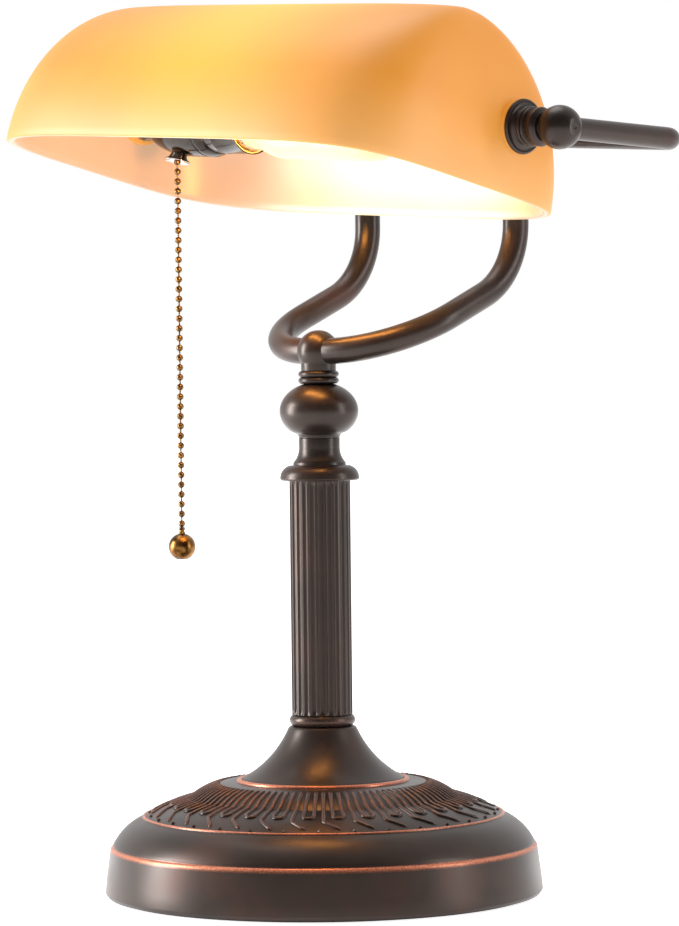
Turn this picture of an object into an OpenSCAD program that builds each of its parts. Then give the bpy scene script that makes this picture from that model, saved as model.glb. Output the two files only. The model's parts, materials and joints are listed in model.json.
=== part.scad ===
// Banker desk lamp: weighted round base, fluted column, U-shaped yoke, and a glass shade that
// tilts on two end pivots around a pull-chain lampholder.
// Millimetres. Origin on the table, on the column's axis. +X along the shade, -Y to the user.

/* [Base] */
// Diameter of the base at the table
base_d = 193; // [160:1:240]
// Height of the skirt, from the table to its upper edge
skirt_h = 22.3; // [14:0.1:35]
// How far the skirt draws in towards its upper edge
skirt_taper = 2.2; // [0:0.1:5]
// Radial width and height of the rounded shoulder
shoulder_w = 15; // [8:0.5:22]
shoulder_h = 12.7; // [6:0.1:20]
// Radial width and height of the ornamented band
band_w = 20.5; // [10:0.5:26]
band_h = 8.3; // [3:0.1:14]
// Radial width and height of the dome inside the band
dome_w = 22; // [12:0.5:22]
dome_h = 7.3; // [3:0.1:14]
// Wall of the base casting
base_wall = 2; // [1.5:0.1:3]
// Thickness of the felt
felt_t = 1.6; // [0.8:0.1:3]

/* [Column] */
// Height of the concave spire on the base
spire_h = 23.8; // [15:0.1:40]
// Diameter of the fluted column
column_d = 26.8; // [24:0.1:34]
// Length of the fluted column
column_h = 103; // [70:1:160]
// Number of flutes, and the radius of the cutter that makes them
flute_count = 24; // [16:1:32]
flute_r = 1.2; // [0.6:0.1:1.4]
// Height of the bead ring under the column
ring_h = 5.2; // [4:0.1:8]
// Height of the cap over the column, with its cove neck
cap_h = 18.6; // [16:0.1:26]
// Diameter and height of the flattened ball
ball_d = 34.5; // [28:0.5:44]
ball_h = 23.8; // [18:0.1:30]
// Outer and inner diameter of the threaded tube that ties the column together
rod_d = 9.7; // [8:0.1:11]
rod_bore = 6.5; // [4:0.1:7]
// Radial clearance of a hole over the tube or pin that it is fitted on
fit = 0.15; // [0.1:0.01:0.3]

/* [Yoke] */
// Diameter and wall of the yoke tube
yoke_d = 11.5; // [9:0.1:12]
yoke_wall = 1.2; // [0.8:0.1:1.8]
// Distance of each yoke arm from the middle
yoke_half = 46; // [40:1:60]
// Distance of the upright arms behind the column
yoke_back = 79; // [72:1:100]
// Slope of the yoke's arms as they run back
yoke_rise = 22.5; // [10:0.5:30]
// Bend radius at the knuckle, and where the arms turn upright
yoke_bend_r = 40; // [30:1:40]
arm_bend_r = 34.5; // [20:0.5:36]
// Diameter of the knuckle ball
knuckle_d = 18.5; // [17:0.1:24]
// Height of the knuckle's bore above the neck rings
knuckle_h = 13.2; // [12:0.1:20]

/* [Bracket] */
// Diameter and wall of the tube that carries the shade
bracket_d = 9.5; // [8:0.1:10]
bracket_wall = 1; // [0.8:0.1:1.5]
// Bend radius of the bracket's corners
bracket_bend_r = 10; // [8:0.5:16]
// Height of the crossbar above the knuckle's bore
bracket_rise = 96.7; // [80:0.1:140]
// Clear way between the shade's rear rim and the crossbar
bracket_gap = 22.5; // [20:0.1:50]
// Forward rise of the side rods
bracket_pitch = 2.5; // [0:0.5:6]
// Sideways lean of the bracket and the shade on the yoke
head_lean = 3; // [0:0.5:5]

/* [Shade] */
// Length and width of the shade's rim, and its height
shade_l = 240; // [190:1:290]
shade_w = 152; // [126:1:184]
shade_h = 75; // [62:1:92]
// How much shorter the crown is than the rim
crown_inset = 46; // [30:1:70]
// Squareness of the shade's corners
shade_square = 4.6; // [3.5:0.1:6]
// Thickness of the glass
glass_t = 3; // [2.5:0.1:4]
// Tilt of the shade on the bracket, with its front rim up
shade_tilt = 9.8; // [0:0.1:14]
// The pivot's distance behind the shade's middle, and above its rim
pivot_back = 22; // [10:0.1:28]
pivot_up = 29.7; // [26:0.1:34]

/* [Pivots] */
// Diameter of the hollow pivot pin, and its running clearance in the glass
pivot_d = 9.8; // [8:0.1:10]
pivot_fit = 0.06; // [0.02:0.01:0.1]
// Diameter of the disc outside the glass, and its thickness at the hub
disc_d = 23.5; // [22:0.1:28]
disc_t = 3.6; // [2.5:0.1:5]
// Length and diameter of the ringed collar, and the diameter of the pivot ball
collar_h = 9.2; // [7:0.1:14]
collar_d = 17.6; // [15:0.1:20]
pivot_ball_d = 18.6; // [16:0.1:22]
// Running gap between parts that turn on each other
run_gap = 0.35; // [0.3:0.01:0.5]

/* [Lampholder and bulb] */
// Diameter and length of the switch housing
housing_d = 32; // [30:0.1:36]
housing_h = 44; // [40:1:56]
// Diameter and length of the lampholder's shell
shell_d = 29; // [28.6:0.1:31]
shell_h = 21; // [18:1:30]
// Diameter and length of the bulb's glass
bulb_d = 32.4; // [28:0.1:36]
bulb_h = 92; // [70:1:100]

/* [Pull chain] */
// Diameter and spacing of the beads, and how many hang below the guide
bead_d = 3.1; // [2.4:0.1:3.4]
bead_pitch = 4.43; // [4:0.01:5]
bead_count = 37; // [20:1:38]
// Diameter of the ball on the chain's end
pull_ball_d = 12.2; // [9:0.1:15]
// Forward slant of the chain guide
guide_slant = 12; // [0:1:20]

/* [Hidden] */
$fn = 96;

// Colours of the finishes
bronze = "#3A302B";
dark_chrome = "#3A3330";
blackened = "#2B2522";
steel = "#8A8A88";
brass = "#8F6B3F";
amber = "#E8A860";

// Base: radii and heights of its steps
base_r = base_d / 2;
foot_z = felt_t / 2;
edge_r = base_r - skirt_taper;
mid_r = edge_r - shoulder_w;
waist_r = mid_r - band_w;
crown_r = waist_r - dome_w;
mid_z = skirt_h + shoulder_h;
waist_z = mid_z + band_h;
crown_z = waist_z + dome_h;
edge_bead = 1;
plate_t = 1.2;
plate_z = felt_t;
weight_z = plate_z + plate_t;
inner_z = crown_z - base_wall;
weight_r = mid_r - base_wall - 2;
weight_top = weight_z + 14;
boss_r = 20;
nut_h = 5;
nut_af = 14;
washer_d = 24;
washer_t = 1.4;
recess_d = 34;
seat_z = weight_z + 10;
rod_hole = rod_d + 2 * fit;
gland_d = 10;
gland_rim = 1.5;
gland_bore = 6.4;
gland_z = weight_z + gland_d / 2 + gland_rim + 0.5;

// Column: heights of the stacked pieces
column_r = column_d / 2;
spire_r = crown_r - 1.3;
spire_top_r = column_r + 1.1;
ring_z = crown_z + spire_h;
column_z = ring_z + ring_h;
cap_z = column_z + column_h;
ball_z = cap_z + cap_h;
neck_z = ball_z + ball_h;
neck_ring_h = 5.6;
neck_ring_r = 8.9;
neck_r = 7.7;
knuckle_z = neck_z + knuckle_h + 1.1;
cove_r = 9;
screw_d = 4;
rod_top = knuckle_z - yoke_d / 2 - 1.6;

// Head: the bracket, the shade and the lampholder share this frame. Its origin is the
// middle of the crossbar, and its -Y runs out to the pivots.
head_z = knuckle_z + bracket_rise;
shade_r = shade_l / 2;
pivot_reach = shade_w / 2 - pivot_back + bracket_gap;
boss_face = shade_r - 0.4;
boss_t = 7;
boss_d = 22.5;
disc_x = boss_face + run_gap;
collar_x = disc_x + disc_t;
ball_x = collar_x + collar_h + pivot_ball_d / 2 - 0.9;
washer_in_d = 19;
washer_in_t = 1.6;
washer_x = boss_face - boss_t - run_gap;
pivot_nut_t = 4;
pivot_nut_x = washer_x - washer_in_t;
housing_x = pivot_nut_x - pivot_nut_t;
pin_in_left = housing_x - 6;
pin_in_right = pivot_nut_x - pivot_nut_t - 2.5;
pin_bore = 6;
shell_x = housing_x - housing_h;
shell_end = shell_x - shell_h;

// Shade: rings from the rim to the crown, points in each, and the turn that the last one is at
ring_steps = 12;
ring_points = 56;
crown_angle = 86;

// Lampholder and bulb: distances along the pivot axis, from the left pivot inwards
shell_wall = 0.6;
liner_wall = 0.5;
screw_r = 13;
screw_wall = 0.35;
cap_r = screw_r - screw_wall - 0.1;
cap_wall = 0.3;
cap_len = 22;
cap_x = shell_end + 19;
contact_x = cap_x + 3.2;
glass_r = bulb_d / 2;
glass_x = cap_x - cap_len + 4;
glass_end = glass_x - bulb_h;
bulb_wall = 0.8;
core_x = shell_x + 3;
core_h = 25;

// Pull chain: the guide points down and a little forward from the switch housing
guide_x = shell_x + 23.3;
guide_neck_r = 3;
guide_mouth_r = 6.2;
guide_top = housing_d / 2 - 2.5;
guide_end = 19.2;
link_r = 1.1;
wire_r = 0.5;

// Turns the bracket and all that it carries into its place on the yoke
module head() {
    translate([0, yoke_back, head_z]) rotate([-bracket_pitch, head_lean, 0]) children();
}

// Lays a revolved piece along the pivot axis, on the left (-1) or the right (1), so that
// its own height is the distance outwards from the middle of the lamp
module on_pivot(side) {
    head() translate([0, -pivot_reach, 0]) rotate([0, side * 90, 0]) children();
}

// Points the piece's +Z down the chain guide
module down_guide() {
    head() translate([-guide_x, -pivot_reach, 0]) rotate([180 - guide_slant, 0, 0]) children();
}

// Points of the arc from p to q that stands sag off their chord, to its left
function bow(p, q, sag, n = 8) =
    let (d = q - p, c = norm(d) / 2, u = d / (2 * c), left = [-u.y, u.x],
         r = (c * c + sag * sag) / (2 * abs(sag)), half = asin(c / r),
         hub = (p + q) / 2 - left * sign(sag) * (r - abs(sag)))
    [for (i = [0 : n]) let (a = half * (2 * i / n - 1))
        hub + left * sign(sag) * r * cos(a) + u * r * sin(a)];

module tube(r_out, r_in, h) {
    difference() {
        cylinder(r = r_out, h = h);
        translate([0, 0, -1]) cylinder(r = r_in, h = h + 2);
    }
}

// ---------------------------------------------------------------- base

module felt_pad() {
    color(blackened) cylinder(r = base_r - 4, h = felt_t);
}

module base_plate() {
    color("#4A4A48") translate([0, 0, plate_z]) tube(base_r - 3.4, recess_d / 2, plate_t);
}

// The cast weight, with a recess for the nut and a channel for the cord
module base_weight() {
    color("#55524E") difference() {
        union() {
            translate([0, 0, weight_z]) cylinder(r = weight_r, h = weight_top - weight_z);
            translate([0, 0, weight_z]) cylinder(r = boss_r, h = inner_z - weight_z);
        }
        translate([0, 0, weight_z - 1]) cylinder(d = recess_d, h = seat_z - weight_z + 1);
        cylinder(d = rod_hole, h = inner_z + 1);
        translate([-3.5, 0, weight_z - 1]) cube([7, base_r, 9]);
    }
}

// The shell is one bowl turned upside down, with a small hole at the top for the rod
module base_shell() {
    inner_edge = edge_r - base_wall;
    outer = concat(
        [[base_r - 1.2, foot_z], [base_r, foot_z + 1.6], [edge_r, skirt_h - edge_bead]],
        [[edge_r - 0.5, skirt_h + edge_bead]],
        bow([edge_r - 0.6, skirt_h + edge_bead + 0.2], [mid_r + 1, mid_z], -1.5),
        [[mid_r - 1, mid_z + edge_bead]],
        bow([mid_r - 1.2, mid_z + edge_bead], [waist_r, waist_z], -0.8),
        bow([waist_r - 0.6, waist_z + 0.3], [crown_r + 1.2, crown_z + 0.2], -2),
        [[crown_r - 1.2, crown_z + 0.2], [crown_r - 1.2, crown_z], [rod_hole / 2, crown_z]]);
    inner = concat(
        [[rod_hole / 2, inner_z], [crown_r, inner_z]],
        [[waist_r - base_wall, waist_z - base_wall], [mid_r - base_wall, mid_z - base_wall]],
        bow([mid_r, mid_z - base_wall - 0.4], [inner_edge - 0.6, skirt_h], 1.4),
        [[base_r - base_wall - 0.8, foot_z]]);
    color(bronze) difference() {
        rotate_extrude() polygon(concat(outer, inner));
        translate([0, base_r, gland_z]) rotate([90, 0, 0])
            cylinder(d = gland_d + 2 * fit, h = 12, center = true);
    }
}

// Rubber bushing in the rear of the skirt, which the cord would pass through
module cord_bushing() {
    color("#1E1C1A") translate([0, base_r - 1.6, gland_z]) rotate([-90, 0, 0]) difference() {
        union() {
            translate([0, 0, -3.4]) cylinder(d = gland_d, h = 6);
            translate([0, 0, -4.2]) cylinder(r = gland_d / 2 + gland_rim, h = 1.2);
            translate([0, 0, 2.0]) cylinder(r = gland_d / 2 + gland_rim, h = 1.2);
        }
        translate([0, 0, -6]) cylinder(d = gland_bore, h = 12);
    }
}

module rod_washer() {
    color(steel) translate([0, 0, seat_z - washer_t]) tube(washer_d / 2, rod_hole / 2, washer_t);
}

module rod_nut() {
    color(steel) translate([0, 0, seat_z - washer_t - nut_h]) difference() {
        cylinder(d = nut_af / cos(30), h = nut_h, $fn = 6);
        translate([0, 0, -1]) cylinder(d = rod_d + 0.04, h = nut_h + 2);
    }
}

module centre_rod() {
    foot = seat_z - washer_t - nut_h - 1.2;
    color(steel) translate([0, 0, foot]) tube(rod_d / 2, rod_bore / 2, rod_top - foot);
}

// ---------------------------------------------------------------- column

module base_spire() {
    profile = concat(
        [[rod_hole / 2, crown_z], [spire_r, crown_z], [spire_r, crown_z + 0.9]],
        bow([spire_r - 0.4, crown_z + 1.2], [spire_top_r + 1, ring_z - 1.2], 2.4, 12),
        [[spire_top_r + 0.4, ring_z - 0.3], [spire_top_r - 0.4, ring_z], [rod_hole / 2, ring_z]]);
    color(bronze) difference() {
        rotate_extrude() polygon(profile);
        translate([0, 0, crown_z - 1]) cylinder(r1 = column_r + 3, r2 = column_r - 4, h = spire_h - 2);
    }
}

module column_ring() {
    bead_r = ring_h / 2;
    color(bronze) translate([0, 0, ring_z]) difference() {
        rotate_extrude() union() {
            translate([rod_hole / 2, 0]) square([spire_top_r - bead_r - rod_hole / 2, ring_h]);
            translate([spire_top_r - bead_r, bead_r]) circle(r = bead_r);
        }
        translate([0, 0, -1]) cylinder(d = rod_hole, h = ring_h + 2);
    }
}

module fluted_column() {
    color(bronze) translate([0, 0, column_z]) linear_extrude(column_h) difference() {
        circle(r = column_r);
        for (i = [0 : flute_count - 1])
            rotate(i * 360 / flute_count) translate([column_r + flute_r / 3, 0])
                circle(r = flute_r, $fn = 24);
        circle(r = column_r - 3);
    }
}

// Stepped flange over the column, with a cove that narrows to the neck
module column_cap() {
    flange_r = column_r + 4.1;
    profile = concat(
        [[rod_hole / 2, 0], [flange_r - 0.5, 0], [flange_r, 0.8]],
        bow([flange_r - 0.1, 1.2], [column_r + 0.2, 6.4], -1),
        [[column_r - 1.8, 6.6], [column_r - 1.9, 8]],
        bow([column_r - 2.2, 8.2], [cove_r, cap_h - 4.2], 0.6),
        [[cove_r, cap_h], [rod_hole / 2, cap_h]]);
    color(bronze) translate([0, 0, cap_z]) rotate_extrude() polygon(profile);
}

// Flattened ball: an ellipse in section, cut flat where it seats
module column_ball() {
    half_h = ball_h / 2 + 0.9;
    rise = asin((ball_h / 2) / half_h);
    profile = concat(
        [[rod_hole / 2, 0]],
        [for (i = [-12 : 12]) let (a = i / 12 * rise)
            [ball_d / 2 * cos(a), ball_h / 2 + half_h * sin(a)]],
        [[rod_hole / 2, ball_h]]);
    color(bronze) translate([0, 0, ball_z]) rotate_extrude() polygon(profile);
}

module neck_rings() {
    bead_r = neck_ring_h / 4;
    color(bronze) translate([0, 0, neck_z]) rotate_extrude() difference() {
        union() {
            square([neck_ring_r - bead_r, neck_ring_h]);
            for (i = [1, 3]) translate([neck_ring_r - bead_r, i * bead_r]) circle(r = bead_r);
        }
        translate([-rod_hole / 2, -1]) square([rod_hole, neck_ring_h + 2]);
    }
}

// Ball with a cross bore for the yoke and a blind bore for the rod
module knuckle() {
    foot = neck_z + neck_ring_h;
    color(bronze) difference() {
        union() {
            translate([0, 0, knuckle_z]) sphere(d = knuckle_d);
            translate([0, 0, foot]) cylinder(r = neck_r, h = knuckle_z - foot - 3);
        }
        translate([0, 0, knuckle_z]) rotate([0, 90, 0])
            cylinder(d = yoke_d + 2 * fit, h = 2 * knuckle_d, center = true);
        translate([0, 0, foot - 1]) cylinder(d = rod_hole, h = rod_top - foot + 1.1);
        translate([0, 0, foot - 1]) cylinder(d = rod_bore, h = knuckle_z - foot);
        translate([0, 4, knuckle_z]) rotate([-90, 0, 0]) cylinder(d = screw_d + 2 * fit, h = 10);
    }
}

module knuckle_screw() {
    color(blackened) translate([0, yoke_d / 2, knuckle_z]) rotate([-90, 0, 0]) difference() {
        cylinder(d = screw_d, h = 4.4);
        translate([0, 0, 2.8]) cylinder(d = 2.2, h = 3, $fn = 6);
    }
}

// ---------------------------------------------------------------- yoke

// Points and directions along a bend of radius r about hub, from direction u towards v
function bend(hub, u, v, r, turn, n = 10) =
    [for (i = [0 : n])
        let (a = turn * i / n)
        [hub + r * (u * cos(a) + v * sin(a)), v * cos(a) - u * sin(a)]];

// Upper end of the yoke arm on one side
function arm_top(side) = head_z - side * yoke_half * tan(head_lean) - bracket_d / 2 - 0.7;

// One arm's centreline as [point, direction] pairs: out along X, round to the back in a plane
// that slopes up, and then upright to its tee
function arm_path(side) =
    let (slope = [0, cos(yoke_rise), sin(yoke_rise)], across = [0, sin(yoke_rise), -cos(yoke_rise)],
         x = [side, 0, 0], up = [0, 0, 1], turn = 90 - yoke_rise,
         start = [0, 0, knuckle_z],
         elbow = start + x * yoke_half + slope * (yoke_back / cos(yoke_rise)),
         plan_hub = start + x * (yoke_half - yoke_bend_r) + slope * yoke_bend_r,
         upright_hub = elbow + up * (arm_bend_r * tan(turn / 2)) - [0, arm_bend_r, 0])
    concat([[start, x]],
           bend(plan_hub, -slope, x, yoke_bend_r, 90),
           bend(upright_hub, across, slope, arm_bend_r, turn),
           [[[side * yoke_half, yoke_back, arm_top(side)], up]]);

// The whole yoke, from the top of the left arm through the knuckle to the top of the right
function yoke_path() =
    let (left = arm_path(-1), right = arm_path(1), n = len(left))
    concat([for (i = [n - 1 : -1 : 1]) [left[i][0], -left[i][1]]],
           [for (i = [1 : n - 1]) right[i]]);

// A round tube swept along the path; reference is a direction that the path never takes
module swept_tube(path, r_out, r_in, reference, sides = 20) {
    n = len(path);
    rings = [for (r = [r_out, r_in], station = path)
        let (t = station[1], flat = reference - t * (reference * t),
             u = flat / norm(flat), v = cross(t, u))
        for (i = [0 : sides - 1])
            let (a = 360 * i / sides)
            station[0] + r * (u * cos(a) + v * sin(a))];
    inner = n * sides;
    skin = [for (j = [0 : n - 2], i = [0 : sides - 1])
        let (k = (i + 1) % sides, a = j * sides + i, b = j * sides + k) each
        [[a, a + sides, b + sides, b], [inner + a, inner + b, inner + b + sides, inner + a + sides]]];
    ends = [for (i = [0 : sides - 1]) let (k = (i + 1) % sides, last = (n - 1) * sides) each
        [[i, k, inner + k, inner + i], [last + i, inner + last + i, inner + last + k, last + k]]];
    polyhedron(rings, concat(skin, ends), convexity = 8);
}

module yoke_tube() {
    color(bronze) difference() {
        swept_tube(yoke_path(), yoke_d / 2, yoke_d / 2 - yoke_wall,
                   [0, -sin(yoke_rise), cos(yoke_rise)]);
        translate([0, 0, knuckle_z - yoke_d]) cylinder(d = rod_bore - 1, h = yoke_d);
    }
}

// Ball tee that seats on a yoke arm and holds the crossbar
module yoke_tee(side) {
    color(bronze) difference() {
        head() translate([side * yoke_half, 0, 0]) sphere(d = 2 * yoke_d - 3);
        head() translate([side * yoke_half, 0, 0]) rotate([0, 90, 0])
            cylinder(d = bracket_d + 2 * fit, h = 40, center = true);
        translate([side * yoke_half, yoke_back, head_z - side * yoke_half * tan(head_lean) - 20])
            cylinder(d = yoke_d + 2 * fit, h = 20 - bracket_d / 2 - 0.5);
    }
}

module yoke_tee_left() { yoke_tee(-1); }
module yoke_tee_right() { yoke_tee(1); }

// ---------------------------------------------------------------- bracket and pivots

// Half of the bracket, as a round bar of radius r: along the crossbar, round the corner and
// out along the side rod to the pivot ball
module bracket_half(r, side, extra = 0) {
    corner = ball_x - bracket_bend_r;
    rotate([0, side * 90, 0]) cylinder(r = r, h = corner);
    translate([side * corner, -bracket_bend_r, 0]) rotate([0, 0, side > 0 ? 0 : 90])
        rotate_extrude(angle = 90) translate([bracket_bend_r, 0]) circle(r = r);
    translate([side * ball_x, -bracket_bend_r, 0]) rotate([90, 0, 0])
        cylinder(r = r, h = pivot_reach - bracket_bend_r - pivot_ball_d / 2 + 3 + extra);
}

module bracket_tube() {
    color(bronze) head() difference() {
        for (side = [-1, 1]) bracket_half(bracket_d / 2, side);
        for (side = [-1, 1]) bracket_half(bracket_d / 2 - bracket_wall, side, 1);
    }
}

// Ball with a blind socket for the side rod and a blind bore for the pivot pin
module pivot_ball(side) {
    rod_seat = pivot_ball_d / 2 - 3;
    color(bronze) difference() {
        on_pivot(side) translate([0, 0, ball_x]) sphere(d = pivot_ball_d);
        on_pivot(side) translate([0, 0, collar_x])
            cylinder(d = pivot_d + 2 * fit, h = ball_x - collar_x - 2);
        on_pivot(side) translate([0, 0, ball_x - 3]) cylinder(d = pin_bore - 1, h = 3);
        on_pivot(side) translate([0, 0, collar_x - 1]) cylinder(r = pivot_ball_d, h = collar_h + 1);
        head() translate([side * ball_x, -pivot_reach + rod_seat, 0]) rotate([-90, 0, 0])
            cylinder(d = bracket_d + 2 * fit, h = 20);
        head() translate([side * ball_x, -pivot_reach, 0]) rotate([-90, 0, 0])
            cylinder(d = pin_bore - 1, h = 20);
    }
}

module pivot_ball_left() { pivot_ball(-1); }
module pivot_ball_right() { pivot_ball(1); }

// Ringed drum between the disc and the ball, with two beads at the disc's end
module pivot_collar(side) {
    bore_r = pivot_d / 2 + fit;
    bead_r = 0.9;
    drum_r = collar_d / 2;
    color(bronze) on_pivot(side) translate([0, 0, collar_x]) rotate_extrude() difference() {
        union() {
            square([drum_r - bead_r, collar_h - 0.9]);
            square([drum_r - 2.4, collar_h]);
            for (i = [0, 1]) translate([drum_r - bead_r, bead_r * (1 + 2 * i)]) circle(r = bead_r);
            translate([drum_r - 1.4, 4 * bead_r]) square([0.9, collar_h - 4 * bead_r - 1]);
        }
        translate([-20, -1]) square([20 + bore_r, collar_h + 2]);
    }
}

module pivot_collar_left() { pivot_collar(-1); }
module pivot_collar_right() { pivot_collar(1); }

// Dished disc that covers the hole in the glass
module shade_disc(side) {
    profile = concat(
        [[pivot_d / 2 + fit, 0], [disc_d / 2 - 0.5, 0], [disc_d / 2, 0.5], [disc_d / 2 - 0.2, 1.2]],
        bow([disc_d / 2 - 0.6, 1.4], [7.4, disc_t - 0.1], -0.3),
        [[7.2, disc_t], [pivot_d / 2 + fit, disc_t]]);
    color(bronze) on_pivot(side) translate([0, 0, disc_x]) rotate_extrude() polygon(profile);
}

module shade_disc_left() { shade_disc(-1); }
module shade_disc_right() { shade_disc(1); }

// Hollow pin from the ball, through the glass, to the nut or the lampholder inside
module pivot_pin(side, inner_end) {
    color(steel) on_pivot(side) translate([0, 0, inner_end])
        tube(pivot_d / 2, pin_bore / 2, ball_x - 2.1 - inner_end);
}

module pivot_pin_left() { pivot_pin(-1, pin_in_left); }
module pivot_pin_right() { pivot_pin(1, pin_in_right); }

module pivot_washer(side) {
    color(steel) on_pivot(side) translate([0, 0, washer_x - washer_in_t])
        tube(washer_in_d / 2, pivot_d / 2 + fit, washer_in_t);
}

module pivot_washer_left() { pivot_washer(-1); }
module pivot_washer_right() { pivot_washer(1); }

module pivot_nut(side) {
    color(blackened) on_pivot(side) translate([0, 0, pivot_nut_x - pivot_nut_t]) difference() {
        cylinder(d = nut_af / cos(30), h = pivot_nut_t, $fn = 6);
        translate([0, 0, -1]) cylinder(d = pivot_d + 0.04, h = pivot_nut_t + 2);
    }
}

module pivot_nut_left() { pivot_nut(-1); }
module pivot_nut_right() { pivot_nut(1); }

// ---------------------------------------------------------------- shade

// One level ring of the loaf shape: a rounded rectangle that shrinks as a quarter ellipse
// from the rim (w = 0) to the crown (w = 1)
function loaf_ring(l, w, h, turn) =
    [for (i = [0 : ring_points - 1]) let (a = 360 * i / ring_points, k = cos(turn), p = 2 / shade_square)
        [(l / 2 - crown_inset / 2 * (1 - k)) * sign(cos(a)) * pow(abs(cos(a)), p),
         w / 2 * k * sign(sin(a)) * pow(abs(sin(a)), p),
         h * sin(turn)]];

function loaf_points(l, w, h) =
    [for (j = [0 : ring_steps]) each loaf_ring(l, w, h, crown_angle * j / ring_steps)];

function loaf_faces(base, flip) =
    [for (j = [0 : ring_steps - 1], i = [0 : ring_points - 1])
        let (a = base + j * ring_points + i, b = base + j * ring_points + (i + 1) % ring_points,
             c = b + ring_points, d = a + ring_points)
        flip ? [a, b, c, d] : [a, d, c, b]];

function last_ring(base, flip) =
    [for (i = [0 : ring_points - 1]) base + ring_steps * ring_points + (flip ? i : ring_points - 1 - i)];

// The glass wall: an outer and an inner loaf joined at the rim
module shade_wall() {
    count = (ring_steps + 1) * ring_points;
    points = concat(loaf_points(shade_l, shade_w, shade_h),
                    loaf_points(shade_l - 2 * glass_t, shade_w - 2 * glass_t, shade_h - glass_t));
    rim = [for (i = [0 : ring_points - 1]) let (n = (i + 1) % ring_points) [i, n, count + n, count + i]];
    polyhedron(points, concat(loaf_faces(0, false), loaf_faces(count, true), rim,
                              [last_ring(0, false), last_ring(count, true)]), convexity = 6);
}

module shade() {
    color(amber) difference() {
        union() {
            head() translate([0, -pivot_reach, 0]) rotate([-shade_tilt, 0, 0])
                translate([0, -pivot_back, -pivot_up]) shade_wall();
            for (side = [-1, 1]) on_pivot(side) translate([0, 0, boss_face - boss_t])
                cylinder(d = boss_d, h = boss_t);
        }
        for (side = [-1, 1]) on_pivot(side) translate([0, 0, boss_face - 30])
            cylinder(d = pivot_d + 2 * pivot_fit, h = 40);
    }
}

// ---------------------------------------------------------------- lampholder and bulb

// Bell-shaped housing for the switch, drawn in to the pivot pin
module switch_housing() {
    r = housing_d / 2;
    outer = concat(
        [[shell_d / 2, shell_x], [r, shell_x + 4]],
        [[r, shell_x + 16]],
        bow([r, shell_x + 16], [9, housing_x - 1.5], -2.2),
        [[8.4, housing_x], [pivot_d / 2 + fit, housing_x]]);
    inner = concat(
        [[pivot_d / 2 + fit, housing_x - 3], [7.5, housing_x - 3]],
        bow([8.4, housing_x - 4], [r - 1.2, shell_x + 16], 2.2),
        [[r - 1.2, shell_x + 5], [shell_d / 2 - 1.2, shell_x + 1.2], [shell_d / 2 - 1.2, shell_x]]);
    color(dark_chrome) difference() {
        on_pivot(-1) rotate_extrude() polygon(concat(outer, inner));
        down_guide() cylinder(r = guide_neck_r + fit, h = 40);
    }
}

module lampholder_shell() {
    color(dark_chrome) on_pivot(-1) translate([0, 0, shell_end])
        tube(shell_d / 2, shell_d / 2 - shell_wall, shell_h);
}

// Insulating sleeve between the shell and the screw shell
module lampholder_liner() {
    r = shell_d / 2 - shell_wall - 0.05;
    color("#D8CBA8") on_pivot(-1) translate([0, 0, shell_end + 0.8]) tube(r, r - liner_wall, shell_h - 1);
}

module screw_shell() {
    color(brass) on_pivot(-1) translate([0, 0, shell_end + 2])
        tube(screw_r, screw_r - screw_wall, shell_h + 1);
}

module centre_contact() {
    color(brass) on_pivot(-1) translate([0, 0, contact_x + 0.1]) cylinder(r = 3.5, h = 1.6);
}

// Moulded core that holds the contacts and the switch, with a slot for the pull link
module switch_core() {
    color("#5A2E1E") difference() {
        on_pivot(-1) translate([0, 0, core_x]) cylinder(r = screw_r - 0.2, h = core_h);
        down_guide() translate([0, 0, -6]) cylinder(r = link_r + 1.2, h = 40);
        on_pivot(-1) translate([0, 0, shell_end]) cylinder(r = 3.8, h = contact_x + 1.8 - shell_end);
    }
}

// Flared guide that the chain runs out of
module chain_guide() {
    bore = link_r + 0.7;
    skirt_r = guide_neck_r + 1.4;
    lip_z = guide_end - 0.5;
    profile = concat(
        [[bore, guide_top], [guide_neck_r, guide_top], [guide_neck_r, guide_top + 2.9]],
        bow([skirt_r, lip_z - 1.3], [guide_mouth_r, lip_z], -0.2, 4),
        [[guide_mouth_r, guide_end], [guide_mouth_r - 0.4, guide_end]],
        bow([guide_mouth_r - 0.5, guide_end - 0.1], [bore, guide_end - 1.6], 0.2, 4));
    color("#B8B4AC") down_guide() rotate_extrude() polygon(profile);
}

// ---------------------------------------------------------------- pull chain

// The link slides down the guide; the beads hang plumb from its end
function guide_point(d) =
    let (y = -pivot_reach - d * sin(guide_slant), z = -d * cos(guide_slant),
         pitched = z * cos(bracket_pitch) - y * sin(bracket_pitch))
    [pitched * sin(head_lean) - guide_x * cos(head_lean),
     yoke_back + y * cos(bracket_pitch) + z * sin(bracket_pitch),
     head_z + pitched * cos(head_lean) + guide_x * sin(head_lean)];

module pull_link() {
    link_end = guide_end - bead_d / 2 - 0.3;
    color(brass) down_guide() cylinder(r = link_r, h = link_end);
}

module swivel_bead() {
    color(brass) translate(guide_point(guide_end)) sphere(d = bead_d, $fn = 32);
}

module bead_chain() {
    color(brass) translate(guide_point(guide_end)) {
        for (i = [1 : bead_count]) translate([0, 0, -i * bead_pitch]) sphere(d = bead_d, $fn = 32);
        chain_len = bead_count * bead_pitch;
        translate([0, 0, -chain_len]) cylinder(r = wire_r, h = chain_len - bead_d / 2 - 0.3, $fn = 24);
    }
}

module chain_coupling() {
    color(brass) translate(guide_point(guide_end) - [0, 0, bead_count * bead_pitch + bead_d / 2 + 3])
        cylinder(r = 1.5, h = 3);
}

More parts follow.
